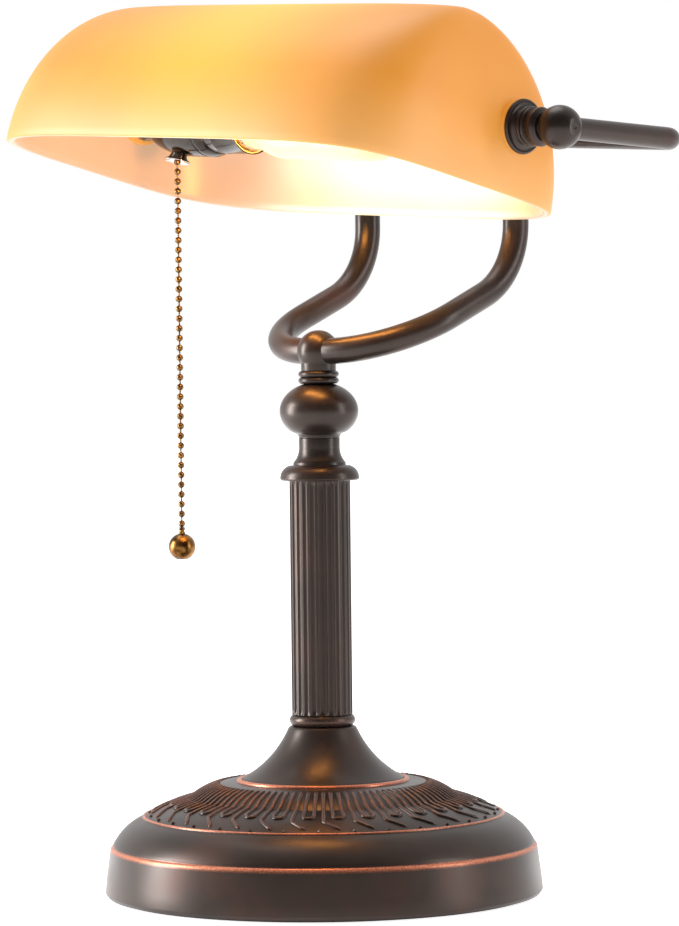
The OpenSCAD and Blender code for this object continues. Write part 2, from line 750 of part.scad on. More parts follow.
module pull_ball() {
    top = bead_count * bead_pitch + bead_d / 2 + 3;
    color(brass) translate(guide_point(guide_end) - [0, 0, top + pull_ball_d / 2 - 0.2]) difference() {
        sphere(d = pull_ball_d);
        translate([-10, -10, -20 - pull_ball_d / 2 + 0.5]) cube(20);
        translate([-10, -10, pull_ball_d / 2 - 0.2]) cube(20);
    }
}

// ---------------------------------------------------------------- bulb

module bulb_cap() {
    color("#B9B7B0") on_pivot(-1) translate([0, 0, cap_x - cap_len]) difference() {
        union() {
            cylinder(r = cap_r, h = cap_len - 3);
            translate([0, 0, cap_len - 3]) cylinder(r1 = cap_r, r2 = 5, h = 3);
            translate([0, 0, cap_len]) cylinder(r = 3.4, h = 3.1);
        }
        translate([0, 0, -1]) cylinder(r = cap_r - cap_wall, h = cap_len - 2.5);
    }
}

// Tubular glass, drawn in to a neck that is cemented into the cap
module bulb_glass() {
    neck = cap_r - cap_wall - 0.1;
    dome = glass_end + glass_r;
    outer = concat(
        [[neck, glass_x], [neck, glass_x - 6]],
        bow([neck, glass_x - 6], [(neck + glass_r) / 2, glass_x - 14], -0.4, 4),
        bow([(neck + glass_r) / 2, glass_x - 14], [glass_r, glass_x - 24], 0.4, 4),
        [for (i = [0 : 12]) [glass_r * cos(i * 7.5), dome - glass_r * sin(i * 7.5)]]);
    inner_r = glass_r - bulb_wall;
    inner = concat(
        [for (i = [12 : -1 : 0]) [inner_r * cos(i * 7.5), dome - inner_r * sin(i * 7.5)]],
        [[inner_r, glass_x - 24], [(neck + glass_r) / 2 - bulb_wall, glass_x - 14]],
        [[neck - bulb_wall, glass_x - 6], [neck - bulb_wall, glass_x]]);
    color("#FFF4DC") on_pivot(-1) rotate_extrude() polygon(concat(outer, inner));
}

// Glass mount inside the bulb, with two support wires
module bulb_stem() {
    color("#E8EEF0") on_pivot(-1) {
        translate([0, 0, glass_x - 18]) cylinder(r = 3, h = 17);
        translate([0, 0, glass_x - 1]) cylinder(r = cap_r - cap_wall - 0.1 - bulb_wall - 0.1, h = 1);
        for (s = [-1, 1]) translate([s * 2, 0, glass_x - 34]) cylinder(r = 0.4, h = 17, $fn = 24);
    }
}

module bulb_filament() {
    color("#FFD890") on_pivot(-1) translate([0, 0, glass_x - 34 - 0.8]) rotate([0, 90, 0])
        cylinder(r = 0.8, h = 9, center = true, $fn = 24);
}

felt_pad();
base_plate();
base_weight();
base_shell();
cord_bushing();
rod_washer();
rod_nut();
centre_rod();
base_spire();
column_ring();
fluted_column();
column_cap();
column_ball();
neck_rings();
knuckle();
knuckle_screw();
yoke_tube();
yoke_tee_left();
yoke_tee_right();
bracket_tube();
pivot_ball_left();
pivot_ball_right();
pivot_collar_left();
pivot_collar_right();
shade_disc_left();
shade_disc_right();
pivot_pin_left();
pivot_pin_right();
pivot_washer_left();
pivot_washer_right();
pivot_nut_left();
pivot_nut_right();
shade();
switch_housing();
lampholder_shell();
lampholder_liner();
screw_shell();
centre_contact();
switch_core();
chain_guide();
pull_link();
swivel_bead();
bead_chain();
chain_coupling();
pull_ball();
bulb_cap();
bulb_glass();
bulb_stem();
bulb_filament();
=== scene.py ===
# %% [markdown]
# # A banker desk lamp
# This lesson dresses a finished CAD model of a desk lamp. The CAD file already has every piece at
# its real size and place, so nothing is moved here. What we add is what the eye notices: the
# softened edges of cast and spun metal, the raised pattern on the base, coloured glass that
# glows, a chain of hollow beads, and a believable finish on each of them.

# %% Open the CAD model
import json
from math import acos, asin, ceil, copysign, cos, degrees, hypot, pi, radians, sin, tan

import bmesh
import bpy
from mathutils import Matrix, Vector


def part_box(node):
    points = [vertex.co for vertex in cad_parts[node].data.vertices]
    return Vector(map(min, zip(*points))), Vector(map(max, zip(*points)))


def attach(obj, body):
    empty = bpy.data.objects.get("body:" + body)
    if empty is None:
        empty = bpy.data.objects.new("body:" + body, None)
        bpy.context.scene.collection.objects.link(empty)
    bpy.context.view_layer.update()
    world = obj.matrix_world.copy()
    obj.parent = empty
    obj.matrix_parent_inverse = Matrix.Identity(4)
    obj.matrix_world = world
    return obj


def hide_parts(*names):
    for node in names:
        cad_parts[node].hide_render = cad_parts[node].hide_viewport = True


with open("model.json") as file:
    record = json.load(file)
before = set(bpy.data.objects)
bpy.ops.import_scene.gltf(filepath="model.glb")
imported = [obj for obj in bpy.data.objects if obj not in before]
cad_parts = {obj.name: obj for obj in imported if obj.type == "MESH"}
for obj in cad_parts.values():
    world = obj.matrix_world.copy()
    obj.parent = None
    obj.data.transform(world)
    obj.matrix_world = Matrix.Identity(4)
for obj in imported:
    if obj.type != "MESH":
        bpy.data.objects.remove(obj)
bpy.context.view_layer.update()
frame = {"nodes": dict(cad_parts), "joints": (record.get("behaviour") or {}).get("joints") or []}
nodes = frame["nodes"]

# %% [markdown]
# ## Millimetres
# Blender works in metres, but a lamp is drawn in millimetres. One constant turns one into the
# other. The heights of the base and the column are read from the CAD pieces, so each new piece
# sits where the old one was. The other sizes repeat those of the CAD model.

# %% Units, heights and the lamp's own axes
MM = 0.001


def low(node):
    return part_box(node)[0].z / MM


def high(node):
    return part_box(node)[1].z / MM


SKIRT_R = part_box("base_shell")[1].x / MM
CROWN_Z = low("base_spire")
RING_Z = low("column_ring")
COLUMN_Z = low("fluted_column")
CAP_Z = low("column_cap")
BALL_Z = low("column_ball")
NECK_Z = low("neck_rings")
KNUCKLE_Z = NECK_Z + 14.3

hinge = next(j for j in frame["joints"] if j["name"] == "shade_tilt")
pivot_centre = Vector(hinge["pos_m"])
head_lean = -asin(hinge["axis"][2])
bracket_pitch = radians(2.5)
head_turn = Matrix.Rotation(head_lean, 4, "Y") @ Matrix.Rotation(-bracket_pitch, 4, "X")
head_frame = Matrix.Translation(pivot_centre) @ head_turn
print("pivot at", [round(v / MM, 1) for v in pivot_centre], "mm, leaning", round(degrees(head_lean), 1))

# %% [markdown]
# ## The camera
# A lamp is best seen from far away through a long lens, so that upright lines stay nearly
# parallel. The lamp is seen from its front right corner, 1.9 m away and 250 mm above the table,
# with a lens of 168 mm. The camera is rolled by a little more than half a degree, as one held by
# hand would be.

# %% Camera
scene = bpy.context.scene
camera_data = bpy.data.cameras.new("camera")
camera_data.lens = 168
camera = bpy.data.objects.new("camera", camera_data)
scene.collection.objects.link(camera)
# How far round from the lamp's front the camera stands, towards its right end
CAMERA_TURN = radians(45)
CAMERA_DISTANCE = 1.9
CAMERA_HEIGHT = 0.25
CAMERA_ROLL = radians(0.64)
aim = Vector((0.0062, 0.0062, 0.190))
camera.location = (sin(CAMERA_TURN) * CAMERA_DISTANCE, -cos(CAMERA_TURN) * CAMERA_DISTANCE, CAMERA_HEIGHT)
toward = (aim - camera.location).to_track_quat("-Z", "Y").to_matrix().to_4x4()
camera.rotation_euler = (toward @ Matrix.Rotation(-CAMERA_ROLL, 4, "Z")).to_euler()
scene.camera = camera
print("camera stands at", [round(v, 3) for v in camera.location])

# %% [markdown]
# ## Colours and nodes
# Colours are picked on screen as sRGB hex values, but a shader wants linear light, so one small
# function does the turn. A second one adds a node, sets its values and plugs in its links. The
# rest are the few steps that nearly every material here takes, so that each reads like a recipe.

# %% Helpers for materials


def linear(code):
    channels = [int(code[i:i + 2], 16) / 255 for i in (1, 3, 5)]
    return tuple(c / 12.92 if c <= 0.04045 else ((c + 0.055) / 1.055) ** 2.4 for c in channels) + (1.0,)


def add(tree, kind, settings=None, values=None, links=None):
    node = tree.nodes.new(kind)
    for name, value in (settings or {}).items():
        setattr(node, name, value)
    for name, value in (values or {}).items():
        node.inputs[name].default_value = value
    for name, source in (links or {}).items():
        tree.links.new(source, node.inputs[name])
    return node


def new_material(name, colour, metallic, roughness, **others):
    material = bpy.data.materials.new(name)
    material.use_nodes = True
    shader = material.node_tree.nodes["Principled BSDF"]
    shader.inputs["Base Color"].default_value = linear(colour)
    shader.inputs["Metallic"].default_value = metallic
    shader.inputs["Roughness"].default_value = roughness
    for name, value in others.items():
        shader.inputs[name.replace("_", " ")].default_value = value
    return material, material.node_tree, shader


def graded(tree, factor, *pairs):
    """Turns a number from 0 to 1 into a colour that passes through the (place, colour) pairs."""
    node = add(tree, "ShaderNodeValToRGB", links={"Fac": factor})
    elements = node.color_ramp.elements
    while len(elements) < len(pairs):
        elements.new(1.0)
    for element, (place, colour) in zip(elements, pairs):
        element.position = place
        element.color = linear(colour)
    return node.outputs["Color"]


def mixed(tree, factor, first, second):
    """Blends the first colour into the second, which is a node's output or a hex value."""
    mix = add(tree, "ShaderNodeMix", settings={"data_type": "RGBA"}, links={"Factor": factor, "A": first})
    if isinstance(second, str):
        mix.inputs["B"].default_value = linear(second)
    else:
        tree.links.new(second, mix.inputs["B"])
    return mix.outputs["Result"]


def remap(tree, source, start, end, low_value=0.0, high_value=1.0, kind="LINEAR"):
    """Maps start to low_value and end to high_value, and holds both beyond."""
    return add(tree, "ShaderNodeMapRange", settings={"interpolation_type": kind}, links={"Value": source},
               values={"From Min": start, "From Max": end, "To Min": low_value,
                       "To Max": high_value}).outputs["Result"]


def where_on(tree):
    return add(tree, "ShaderNodeTexCoord").outputs["Object"]


def noise(tree, where, scale, detail, **others):
    """A cloudy pattern around 0.5. A larger scale gives finer clouds."""
    return add(tree, "ShaderNodeTexNoise", values={"Scale": scale, "Detail": detail, **others},
               links={"Vector": where}).outputs["Fac"]


def roughened(tree, shader, height, strength, distance):
    """Tilts the light on the surface as small bumps would, without moving the surface."""
    bump = add(tree, "ShaderNodeBump", values={"Strength": strength, "Distance": distance},
               links={"Height": height}).outputs["Normal"]
    tree.links.new(bump, shader.inputs["Normal"])


def new_object(name, data):
    obj = bpy.data.objects.new(name, data)
    scene.collection.objects.link(obj)
    return obj


# %% [markdown]
# ## Light and floor
# Dark, glossy metal has almost no colour of its own: it shows what is around it. So the room
# matters more than the lamps do. A photographer lights such a piece from behind: a white backdrop
# stands behind the lamp and the camera's side of the room stays dark. The sides of every tube
# then catch the backdrop and its middle stays deep brown, which is what makes it look round.
# The world below is that room, white at the back and above and dark in front. Three soft panels,
# one at each side and one above, add the long, quiet highlights. A small lamp would make a hard
# white dot instead.

# %% Room, panels and floor
scene.view_settings.view_transform = "Standard"
world = bpy.data.worlds.new("studio_room")
world.use_nodes = True
scene.world = world
room_tree = world.node_tree
room = room_tree.nodes["Background"]
# The way from the camera's side to the backdrop. Each direction's share of it sets its brightness.
BACKDROP_WAY = Vector((-0.66, 0.66, 0.36))
looking = add(room_tree, "ShaderNodeTexCoord").outputs["Generated"]
facing = add(room_tree, "ShaderNodeVectorMath", settings={"operation": "DOT_PRODUCT"}, links={0: looking},
             values={1: BACKDROP_WAY}).outputs["Value"]
brightness = remap(room_tree, facing, -0.35, 0.45, 0.10, 1.0, kind="SMOOTHSTEP")
room_tree.links.new(brightness, room.inputs["Strength"])
room.inputs["Color"].default_value = (1.0, 1.0, 1.0, 1.0)


def panel(name, place, width, height, watts):
    """A white rectangle of light that faces the middle of the lamp."""
    light = bpy.data.lights.new(name, "AREA")
    light.shape = "RECTANGLE"
    light.size = width
    light.size_y = height
    light.energy = watts
    obj = new_object(name, light)
    obj.location = place
    obj.rotation_euler = (Vector((0, 0, 0.2)) - Vector(place)).to_track_quat("-Z", "Y").to_euler()


panel("left_panel", (-0.95, -0.85, 0.35), 0.35, 1.0, 30)
panel("right_panel", (1.25, 0.65, 0.5), 0.3, 1.0, 7)
panel("top_panel", (-0.3, 0.1, 1.5), 0.8, 0.8, 7)


# Half the floor's width, and how far it lies below the felt, so that no two faces share a plane
FLOOR_HALF = 6
FLOOR_DROP = 0.0002
floor_mesh = bpy.data.meshes.new("floor")
floor_corners = [(x * FLOOR_HALF, y * FLOOR_HALF, -FLOOR_DROP)
                 for x, y in ((-1, -1), (1, -1), (1, 1), (-1, 1))]
floor_mesh.from_pydata(floor_corners, [], [(0, 1, 2, 3)])
floor = new_object("floor", floor_mesh)

# %% [markdown]
# ## Oil-rubbed bronze
# The metal parts are zinc castings and steel tube under a dark brown lacquer that imitates old
# bronze. It is half metal to the eye: nearly black where it reflects nothing, with a warm brown
# body. Its surface is satin, so highlights are wide and soft. The maker rubs the lacquer off the
# proud edges, and copper shows through. That wear is not random, so each mesh carries a number
# called "rub" at its points, from 0 for untouched to 1 for bare copper, and the material mixes
# two colours by it. A fine noise breaks the edge of the wear, and a cloudy one varies the gloss.

# %% Bronze with rubbed copper edges


def make_bronze(name):
    material, tree, shader = new_material(name, "#3A302B", 0.55, 0.33)
    where = where_on(tree)
    # Cloudy change over about 30 mm, as a sprayed and hand-wiped coat has
    cloud = noise(tree, where, 32.0, 3.0, Roughness=0.5)
    # Grain of the casting under the coat, about 0.6 mm from bump to bump
    grain = noise(tree, where, 1600.0, 3.0)
    coat = graded(tree, cloud, (0.30, "#2C2521"), (0.55, "#382D28"), (0.80, "#452E26"))
    copper = graded(tree, grain, (0.35, "#A35B44"), (0.65, "#D98A68"))
    rub = add(tree, "ShaderNodeAttribute", settings={"attribute_name": "rub"}).outputs["Fac"]
    ragged = add(tree, "ShaderNodeMath", settings={"operation": "MULTIPLY_ADD"},
                 links={0: grain, 2: rub}, values={1: 0.25}).outputs[0]
    worn = remap(tree, ragged, 0.2, 1.0)
    tree.links.new(mixed(tree, worn, coat, copper), shader.inputs["Base Color"])
    tree.links.new(remap(tree, cloud, 0.3, 0.7, 0.29, 0.38), shader.inputs["Roughness"])
    roughened(tree, shader, grain, 0.08, 0.0002)
    return material


bronze = make_bronze("lacquered_bronze")
print("material:", bronze.name)

# %% [markdown]
# ## Turned pieces
# The base, the column and the balls are all turned shapes, made on a lathe or spun over a form.
# In Blender the same idea is a profile that is swept once round an axis. A real edge is never
# perfectly sharp, and the small round on it is what catches the light, so a helper rounds every
# corner of the profile first. Each profile point is (radius, height) with an optional third
# number for how far the copper shows there.

# %% Profiles and the lathe


def bow(p, q, sag, steps=12):
    """Points of an arc from p to q that stands sag off their straight line, to its right."""
    dx, dz = q[0] - p[0], q[1] - p[1]
    chord = hypot(dx, dz)
    right = (dz / chord, -dx / chord)
    return [(p[0] + dx * t + right[0] * sag * 4 * t * (1 - t),
             p[1] + dz * t + right[1] * sag * 4 * t * (1 - t))
            for t in (i / steps for i in range(steps + 1))]


def half_round(r, z, bead, rub=0.0, steps=10):
    """A bead of that radius that stands out from radius r, from its foot to its top."""
    angles = [pi * i / steps for i in range(steps + 1)]
    return [(r + bead * sin(a), z + bead - bead * cos(a), rub * sin(a)) for a in angles]


def soften(profile, radius, steps=3):
    """Rounds each corner of the profile that turns by more than 25 degrees."""
    points = [Vector((p[0], p[1], p[2] if len(p) > 2 else 0.0)) for p in profile]
    result = [points[0]]
    for before, corner, after in zip(points, points[1:], points[2:]):
        a = Vector((before.x - corner.x, before.y - corner.y))
        b = Vector((after.x - corner.x, after.y - corner.y))
        if a.length < 1e-6 or b.length < 1e-6 or abs(pi - a.angle(b)) < radians(25):
            result.append(corner)
            continue
        reach = min(radius, a.length * 0.45, b.length * 0.45)
        start = corner + (before - corner) * (reach / a.length)
        end = corner + (after - corner) * (reach / b.length)
        for i in range(steps + 1):
            t = i / steps
            result.append(start * (1 - t) ** 2 + corner * 2 * t * (1 - t) + end * t * t)
    return result + [points[-1]]


def skin(rings, count, closed=False):
    """Faces between neighbouring rings of points. Closed also joins the last ring to the first."""
    return [(j * count + i, j * count + (i + 1) % count,
             (j + 1) % rings * count + (i + 1) % count, (j + 1) % rings * count + i)
            for j in range(rings if closed else rings - 1) for i in range(count)]


def clean(mesh, gap, slivers=False):
    """Joins points that are closer than gap and turns every face outwards."""
    work = bmesh.new()
    work.from_mesh(mesh)
    bmesh.ops.remove_doubles(work, verts=work.verts, dist=gap)
    if slivers:
        bmesh.ops.dissolve_degenerate(work, edges=work.edges, dist=1e-7)
    bmesh.ops.recalc_face_normals(work, faces=work.faces)
    work.to_mesh(mesh)
    work.free()


def finish_piece(name, verts, faces, material, body, rub=None, place=None, sharp=35):
    """Turns points in millimetres into a smooth object that rides on a body of the lamp."""
    mesh = bpy.data.meshes.new(name)
    turn = place or Matrix.Identity(4)
    mesh.from_pydata([turn @ (Vector(v) * MM) for v in verts], [], faces)
    if rub is not None:
        mesh.attributes.new("rub", "FLOAT", "POINT").data.foreach_set("value", rub)
    clean(mesh, 1e-7)
    mesh.shade_smooth()
    mesh.set_sharp_from_angle(angle=radians(sharp))
    mesh.materials.append(material)
    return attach(new_object(name, mesh), body)


def lathe_mesh(profile, segments, closed):
    verts = [(p[0] * cos(2 * pi * i / segments), p[0] * sin(2 * pi * i / segments), p[1])
             for p in profile for i in range(segments)]
    return verts, skin(len(profile), segments, closed)


def lathe(name, profile, material, body="stand", place=None, segments=96, corner=0.35, closed=True):
    """Sweeps a profile once round Z. A closed profile joins its last point to its first."""
    soft = soften(profile, corner)
    verts, faces = lathe_mesh(soft, segments, closed)
    rub = [p[2] for p in soft for i in range(segments)]
    return finish_piece(name, verts, faces, material, body, rub, place)


# %% [markdown]
# ## The base
# The base is a shallow bowl turned upside down over a cast weight. From the table up it has a
# plain skirt, a rounded shoulder, a band with a raised pattern, and a dome. Three edges are
# rubbed down to copper: the top of the skirt, the ring outside the band and the ring at the foot
# of the spire. The steps are separate curves in one profile, because that is how a spinner's
# tool would form them, and the copper rings are small half-round beads within it.

# %% Base shell
SKIRT_TOP_Z = 22.3
EDGE_R = SKIRT_R - 2.2
MID_R = EDGE_R - 15
MID_Z = SKIRT_TOP_Z + 12.7
WAIST_R = MID_R - 20.5
WAIST_Z = MID_Z + 8.3
CROWN_R = WAIST_R - 22
WALL = 2
FOOT_Z = low("base_shell")

shoulder = bow((EDGE_R - 1.4, SKIRT_TOP_Z + 0.9), (MID_R + 0.7, MID_Z), 1.6)
band = bow((MID_R - 1.1, MID_Z + 0.6), (WAIST_R, WAIST_Z), 0.8, 24)
dome = bow((WAIST_R - 0.3, WAIST_Z + 0.25), (CROWN_R + 1.4, CROWN_Z - 0.5), 2.0, 16)
skirt = [(SKIRT_R - 1.2, FOOT_Z), (SKIRT_R - 0.1, FOOT_Z + 1.5), (SKIRT_R - 0.6, 8),
         (EDGE_R, SKIRT_TOP_Z - 2.2)]
skirt_edge = [(EDGE_R - 0.1, SKIRT_TOP_Z - 1.3, 0.3), (EDGE_R - 0.35, SKIRT_TOP_Z - 0.5, 0.9),
              (EDGE_R - 0.8, SKIRT_TOP_Z + 0.1, 1.0), (EDGE_R - 1.3, SKIRT_TOP_Z + 0.35, 0.4)]
mid_ring = [(MID_R + 0.6, MID_Z + 0.2, 0.1), (MID_R + 0.4, MID_Z + 0.8, 0.8),
            (MID_R - 0.1, MID_Z + 1.1, 1.0), (MID_R - 0.7, MID_Z + 0.9, 0.7)]
crown_ring = [(CROWN_R + 1.2, CROWN_Z - 0.2, 0.4), (CROWN_R + 1.1, CROWN_Z + 0.5, 1.0),
              (CROWN_R + 0.5, CROWN_Z + 0.95, 1.0), (CROWN_R - 0.4, CROWN_Z + 1.0, 1.0),
              (CROWN_R - 1.1, CROWN_Z + 0.5, 0.8), (CROWN_R - 1.2, CROWN_Z - 0.2, 0.2), (6, CROWN_Z - 0.2)]
underside = [(6, CROWN_Z - WALL), (CROWN_R, CROWN_Z - WALL), (WAIST_R - WALL, WAIST_Z - WALL),
             (MID_R - WALL, MID_Z - WALL), (EDGE_R - WALL, SKIRT_TOP_Z - WALL),
             (SKIRT_R - WALL - 0.8, FOOT_Z)]
outside = skirt + skirt_edge + shoulder + mid_ring + band + dome + crown_ring
base_shell = lathe("base_casting", outside + underside, bronze, segments=192, corner=0.25)
print("base profile has", len(outside) + len(underside), "points")

# %% [markdown]
# ## The raised pattern on the base
# The band carries a pattern that is cast in low relief: 32 long ribs that each end in a slanted
# foot, with a narrow loop between every two. A texture could fake it, but relief that stands up
# catches the light on one side only, so each rib is real geometry. A rib is a path across the
# band, given as angle and radius, with a small rounded section swept along it. Its height comes
# from the same profile that made the base, so it follows the curve.

# %% Ribs, loops and dots
REPEATS = 32
RIB_WIDTH = 1.95
RIB_HEIGHT = 0.95
RIB_IN_R = 45.5
LOOP_OUT_R = 67.5
RIB_OUT_R = 70
FOOT_OUT_R = MID_R - 3.2


def surface_height(radius):
    """Height of the base's outer surface at a radius, between two points of its profile."""
    for p, q in zip(outside, outside[1:]):
        if q[0] <= radius <= p[0] and p[0] - q[0] > 1e-6:
            return p[1] + (q[1] - p[1]) * (p[0] - radius) / (p[0] - q[0])
    return CROWN_Z


def walk(stations, step=1.6):
    """Fills in a path of (angle in degrees, radius) so that it bends with the surface."""
    path = []
    for (a0, r0), (a1, r1) in zip(stations, stations[1:]):
        run = max(1, ceil(hypot(r1 - r0, radians(a1 - a0) * (r0 + r1) / 2) / step))
        path += [(a0 + (a1 - a0) * i / run, r0 + (r1 - r0) * i / run) for i in range(run)]
    return path + [stations[-1]]


def rib(stations, verts, faces, rub, width=RIB_WIDTH, height=RIB_HEIGHT):
    """Adds one rounded rib along a path on the base to the lists of points and faces."""
    points = [Vector((r * cos(radians(a)), r * sin(radians(a)), surface_height(r)))
              for a, r in walk(stations)]
    across_steps = 6
    base = len(verts)
    last = len(points) - 1
    for k, point in enumerate(points):
        ahead = points[min(k + 1, last)] - points[max(k - 1, 0)]
        side = ahead.cross(Vector((0, 0, 1))).normalized()
        taper = 0.35 if k in (0, last) else 1.0
        for i in range(across_steps + 1):
            t = pi * i / across_steps
            rise = height * taper * sin(t) - 0.12
            verts.append(point + side * (width / 2 * taper * cos(t)) + Vector((0, 0, rise)))
            rub.append(0.22 * sin(t) ** 2)
    row = across_steps + 1
    for k in range(last):
        for i in range(across_steps):
            a = base + k * row + i
            faces.append((a, a + 1, a + 1 + row, a + row))
        faces.append((base + k * row + across_steps, base + k * row, base + (k + 1) * row,
                      base + (k + 1) * row + across_steps))
    faces.append(tuple(base + i for i in range(row)))
    faces.append(tuple(base + last * row + i for i in reversed(range(row))))


relief_verts, relief_faces, relief_rub = [], [], []
pitch = 360 / REPEATS
for n in range(REPEATS):
    start = n * pitch
    long_rib = [(start, RIB_IN_R), (start, RIB_OUT_R), (start + 5.6, FOOT_OUT_R)]
    loop = [(start + 3.6, RIB_IN_R), (start + 3.6, LOOP_OUT_R - 1.6), (start + 4.4, LOOP_OUT_R - 0.3),
            (start + 5.6, LOOP_OUT_R), (start + 6.8, LOOP_OUT_R - 0.3), (start + 7.6, LOOP_OUT_R - 1.6),
            (start + 7.6, RIB_IN_R)]
    dash = [(start + 9.2, FOOT_OUT_R + 0.6), (start + 10.4, FOOT_OUT_R + 0.6)]
    for stations in (long_rib, loop, dash):
        rib(stations, relief_verts, relief_faces, relief_rub)
relief = finish_piece("base_relief", relief_verts, relief_faces, bronze, "stand", relief_rub, sharp=60)
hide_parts("base_shell")
print("ribs:", 3 * REPEATS, "faces:", len(relief.data.polygons))

# %% [markdown]
# ## The column
# The column is a stack of loose castings on one threaded tube: a concave spire, a bead ring, the
# fluted column, a stepped cap with a cove, a flattened ball and a pair of neck rings. Each is its
# own object here too, and their rounded edges leave a fine line wherever two castings meet.

# %% Spire, rings, cap and ball
ROD_R = 5.0
COLUMN_R = 13.4
SPIRE_TOP_R = COLUMN_R + 1.1
SPIRE_R = CROWN_R - 1.2


def turned(name, profile, node, material=bronze, slot="bronze", **others):
    """A turned piece that stands in for one CAD node and hides that node. The slot is not used."""
    piece = lathe(name, profile, material, **others)
    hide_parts(node)
    return piece


spire = [(ROD_R, CROWN_Z), (SPIRE_R, CROWN_Z)]
spire += bow((SPIRE_R, CROWN_Z + 0.9), (SPIRE_TOP_R + 0.9, RING_Z - 1.6), -2.4, 20)
spire += [(SPIRE_TOP_R + 0.3, RING_Z - 0.5), (SPIRE_TOP_R - 0.6, RING_Z), (ROD_R, RING_Z)]
turned("spire_casting", spire, "base_spire")

ring_bead = (COLUMN_Z - RING_Z) / 2
turned("bead_ring", [(ROD_R, RING_Z)] + half_round(SPIRE_TOP_R - ring_bead, RING_Z, ring_bead, 0.1)
       + [(ROD_R, COLUMN_Z)], "column_ring", corner=0.1)

FLANGE_R = COLUMN_R + 4.1
cap = [(ROD_R, CAP_Z), (FLANGE_R - 0.6, CAP_Z), (FLANGE_R, CAP_Z + 0.7)]
cap += bow((FLANGE_R - 0.1, CAP_Z + 1.2), (COLUMN_R + 0.2, CAP_Z + 6.4), 1.0)
cap += [(COLUMN_R - 1.8, CAP_Z + 6.6), (COLUMN_R - 1.9, CAP_Z + 8)]
cap += bow((COLUMN_R - 2.2, CAP_Z + 8.2), (9, BALL_Z - 4.2), -0.6)
cap += [(9, BALL_Z), (ROD_R, BALL_Z)]
turned("column_capital", cap, "column_cap")

ball_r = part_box("column_ball")[1].x / MM
ball_half = (NECK_Z - BALL_Z) / 2
ball_rise = asin(ball_half / (ball_half + 0.9))
ball_foot = 2.2
ball = [(ROD_R, BALL_Z), (9, BALL_Z), (9, BALL_Z + 0.5)]
ball += bow((9.1, BALL_Z + 0.6), (10.9, BALL_Z + ball_foot), -0.35, 6)
ball += [(ball_r * cos(t), BALL_Z + ball_half + (ball_half + 0.9) * sin(t))
         for t in (-0.87 + (ball_rise + 0.87) * i / 36 for i in range(1, 37))]
ball += [(ROD_R, NECK_Z)]
turned("flattened_ball", ball, "column_ball")

neck_ring_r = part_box("neck_rings")[1].x / MM
neck_bead = (high("neck_rings") - NECK_Z) / 4
neck = [(ROD_R, NECK_Z)] + half_round(neck_ring_r - neck_bead, NECK_Z, neck_bead, 0.06)
neck += half_round(neck_ring_r - neck_bead, NECK_Z + 2 * neck_bead, neck_bead, 0.06)[1:]
neck += [(ROD_R, NECK_Z + 4 * neck_bead)]
turned("double_bead", neck, "neck_rings", corner=0.1)
print("column pieces stand from", round(CROWN_Z, 1), "to", round(NECK_Z + 4 * neck_bead, 1), "mm")

# %% [markdown]
# ## Flutes
# A flute is a round groove that runs up the column. There are 24 of them with a narrow flat
# between each two. A lathe can't make this, so the outline of the column is drawn as a closed
# line whose radius dips wherever a groove is, and that outline is pulled straight up. The tops
# and bottoms of the flutes run out in a short curve, as a rounded cutter leaves them.

# %% Fluted column
FLUTES = 24
FLUTE_R = 1.25
FLUTE_DEPTH = 0.8
PER_FLUTE = 14
END_RUN = 3.0
HOLLOW_R = ROD_R * 2


def flute_radius(turn, fade):
    """The column's radius at an angle. Fade is 1 in full flutes and 0 where they have run out."""
    offset = (turn * FLUTES / (2 * pi) + 0.5) % 1 - 0.5
    across = offset * 2 * pi * COLUMN_R / FLUTES
    reach = min(1.0, abs(across) / FLUTE_R)
    return COLUMN_R - FLUTE_DEPTH * fade * (1 - reach * reach) ** 0.75


def fluted_rings():
    heights = [COLUMN_Z + END_RUN * i / 6 for i in range(7)]
    heights += [CAP_Z - END_RUN * (6 - i) / 6 for i in range(7)]
    count = FLUTES * PER_FLUTE
    angles = [2 * pi * i / count for i in range(count)]
    verts = []
    for z in heights:
        end = min(z - COLUMN_Z, CAP_Z - z) / END_RUN
        fade = (max(0.0, 1 - (1 - end) ** 2)) ** 0.5 if end > 0 else 0.0
        verts += [(flute_radius(a, fade) * cos(a), flute_radius(a, fade) * sin(a), z) for a in angles]
    # Two more rings line the hollow that the centre rod runs through
    verts += [(HOLLOW_R * cos(a), HOLLOW_R * sin(a), z) for z in (CAP_Z, COLUMN_Z) for a in angles]
    return verts, skin(len(heights) + 2, count, True)


column_verts, column_faces = fluted_rings()
column = finish_piece("fluted_shaft", column_verts, column_faces, bronze, "stand", sharp=50)
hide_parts("fluted_column")
print("column outline points:", FLUTES * PER_FLUTE)

# %% [markdown]
# ## Bent tubes
# The yoke and the bracket are steel tubes bent over round formers. A bent tube is a circle swept
# along a centreline, and the centreline is only straights and arcs. So each path below is a list
# of (point, direction) pairs, with more of them in the arcs. Blender's curve bevel could do this
# too, but it may twist or pinch, and a sweep of our own keeps every ring square to its path.

# %% The sweep


def arc(hub, u, v, radius, turn, steps=18):
    """Points and directions on a bend about hub, from direction u towards direction v."""
    angles = [radians(turn) * i / steps for i in range(steps + 1)]
    return [(hub + radius * (u * cos(a) + v * sin(a)), v * cos(a) - u * sin(a)) for a in angles]


def swept(name, path, radius, up, body="stand", material=bronze, sides=40):
    """A round tube along a path of (point, direction) pairs, with both ends closed."""
    verts = []
    for point, way in path:
        u = (up - way * up.dot(way)).normalized()
        v = way.cross(u)
        verts += [point + radius * (u * cos(2 * pi * i / sides) + v * sin(2 * pi * i / sides))
                  for i in range(sides)]
    faces = skin(len(path), sides)
    faces.append(tuple(range(sides)))
    faces.append(tuple((len(path) - 1) * sides + i for i in reversed(range(sides))))
    return finish_piece(name, verts, faces, material, body)


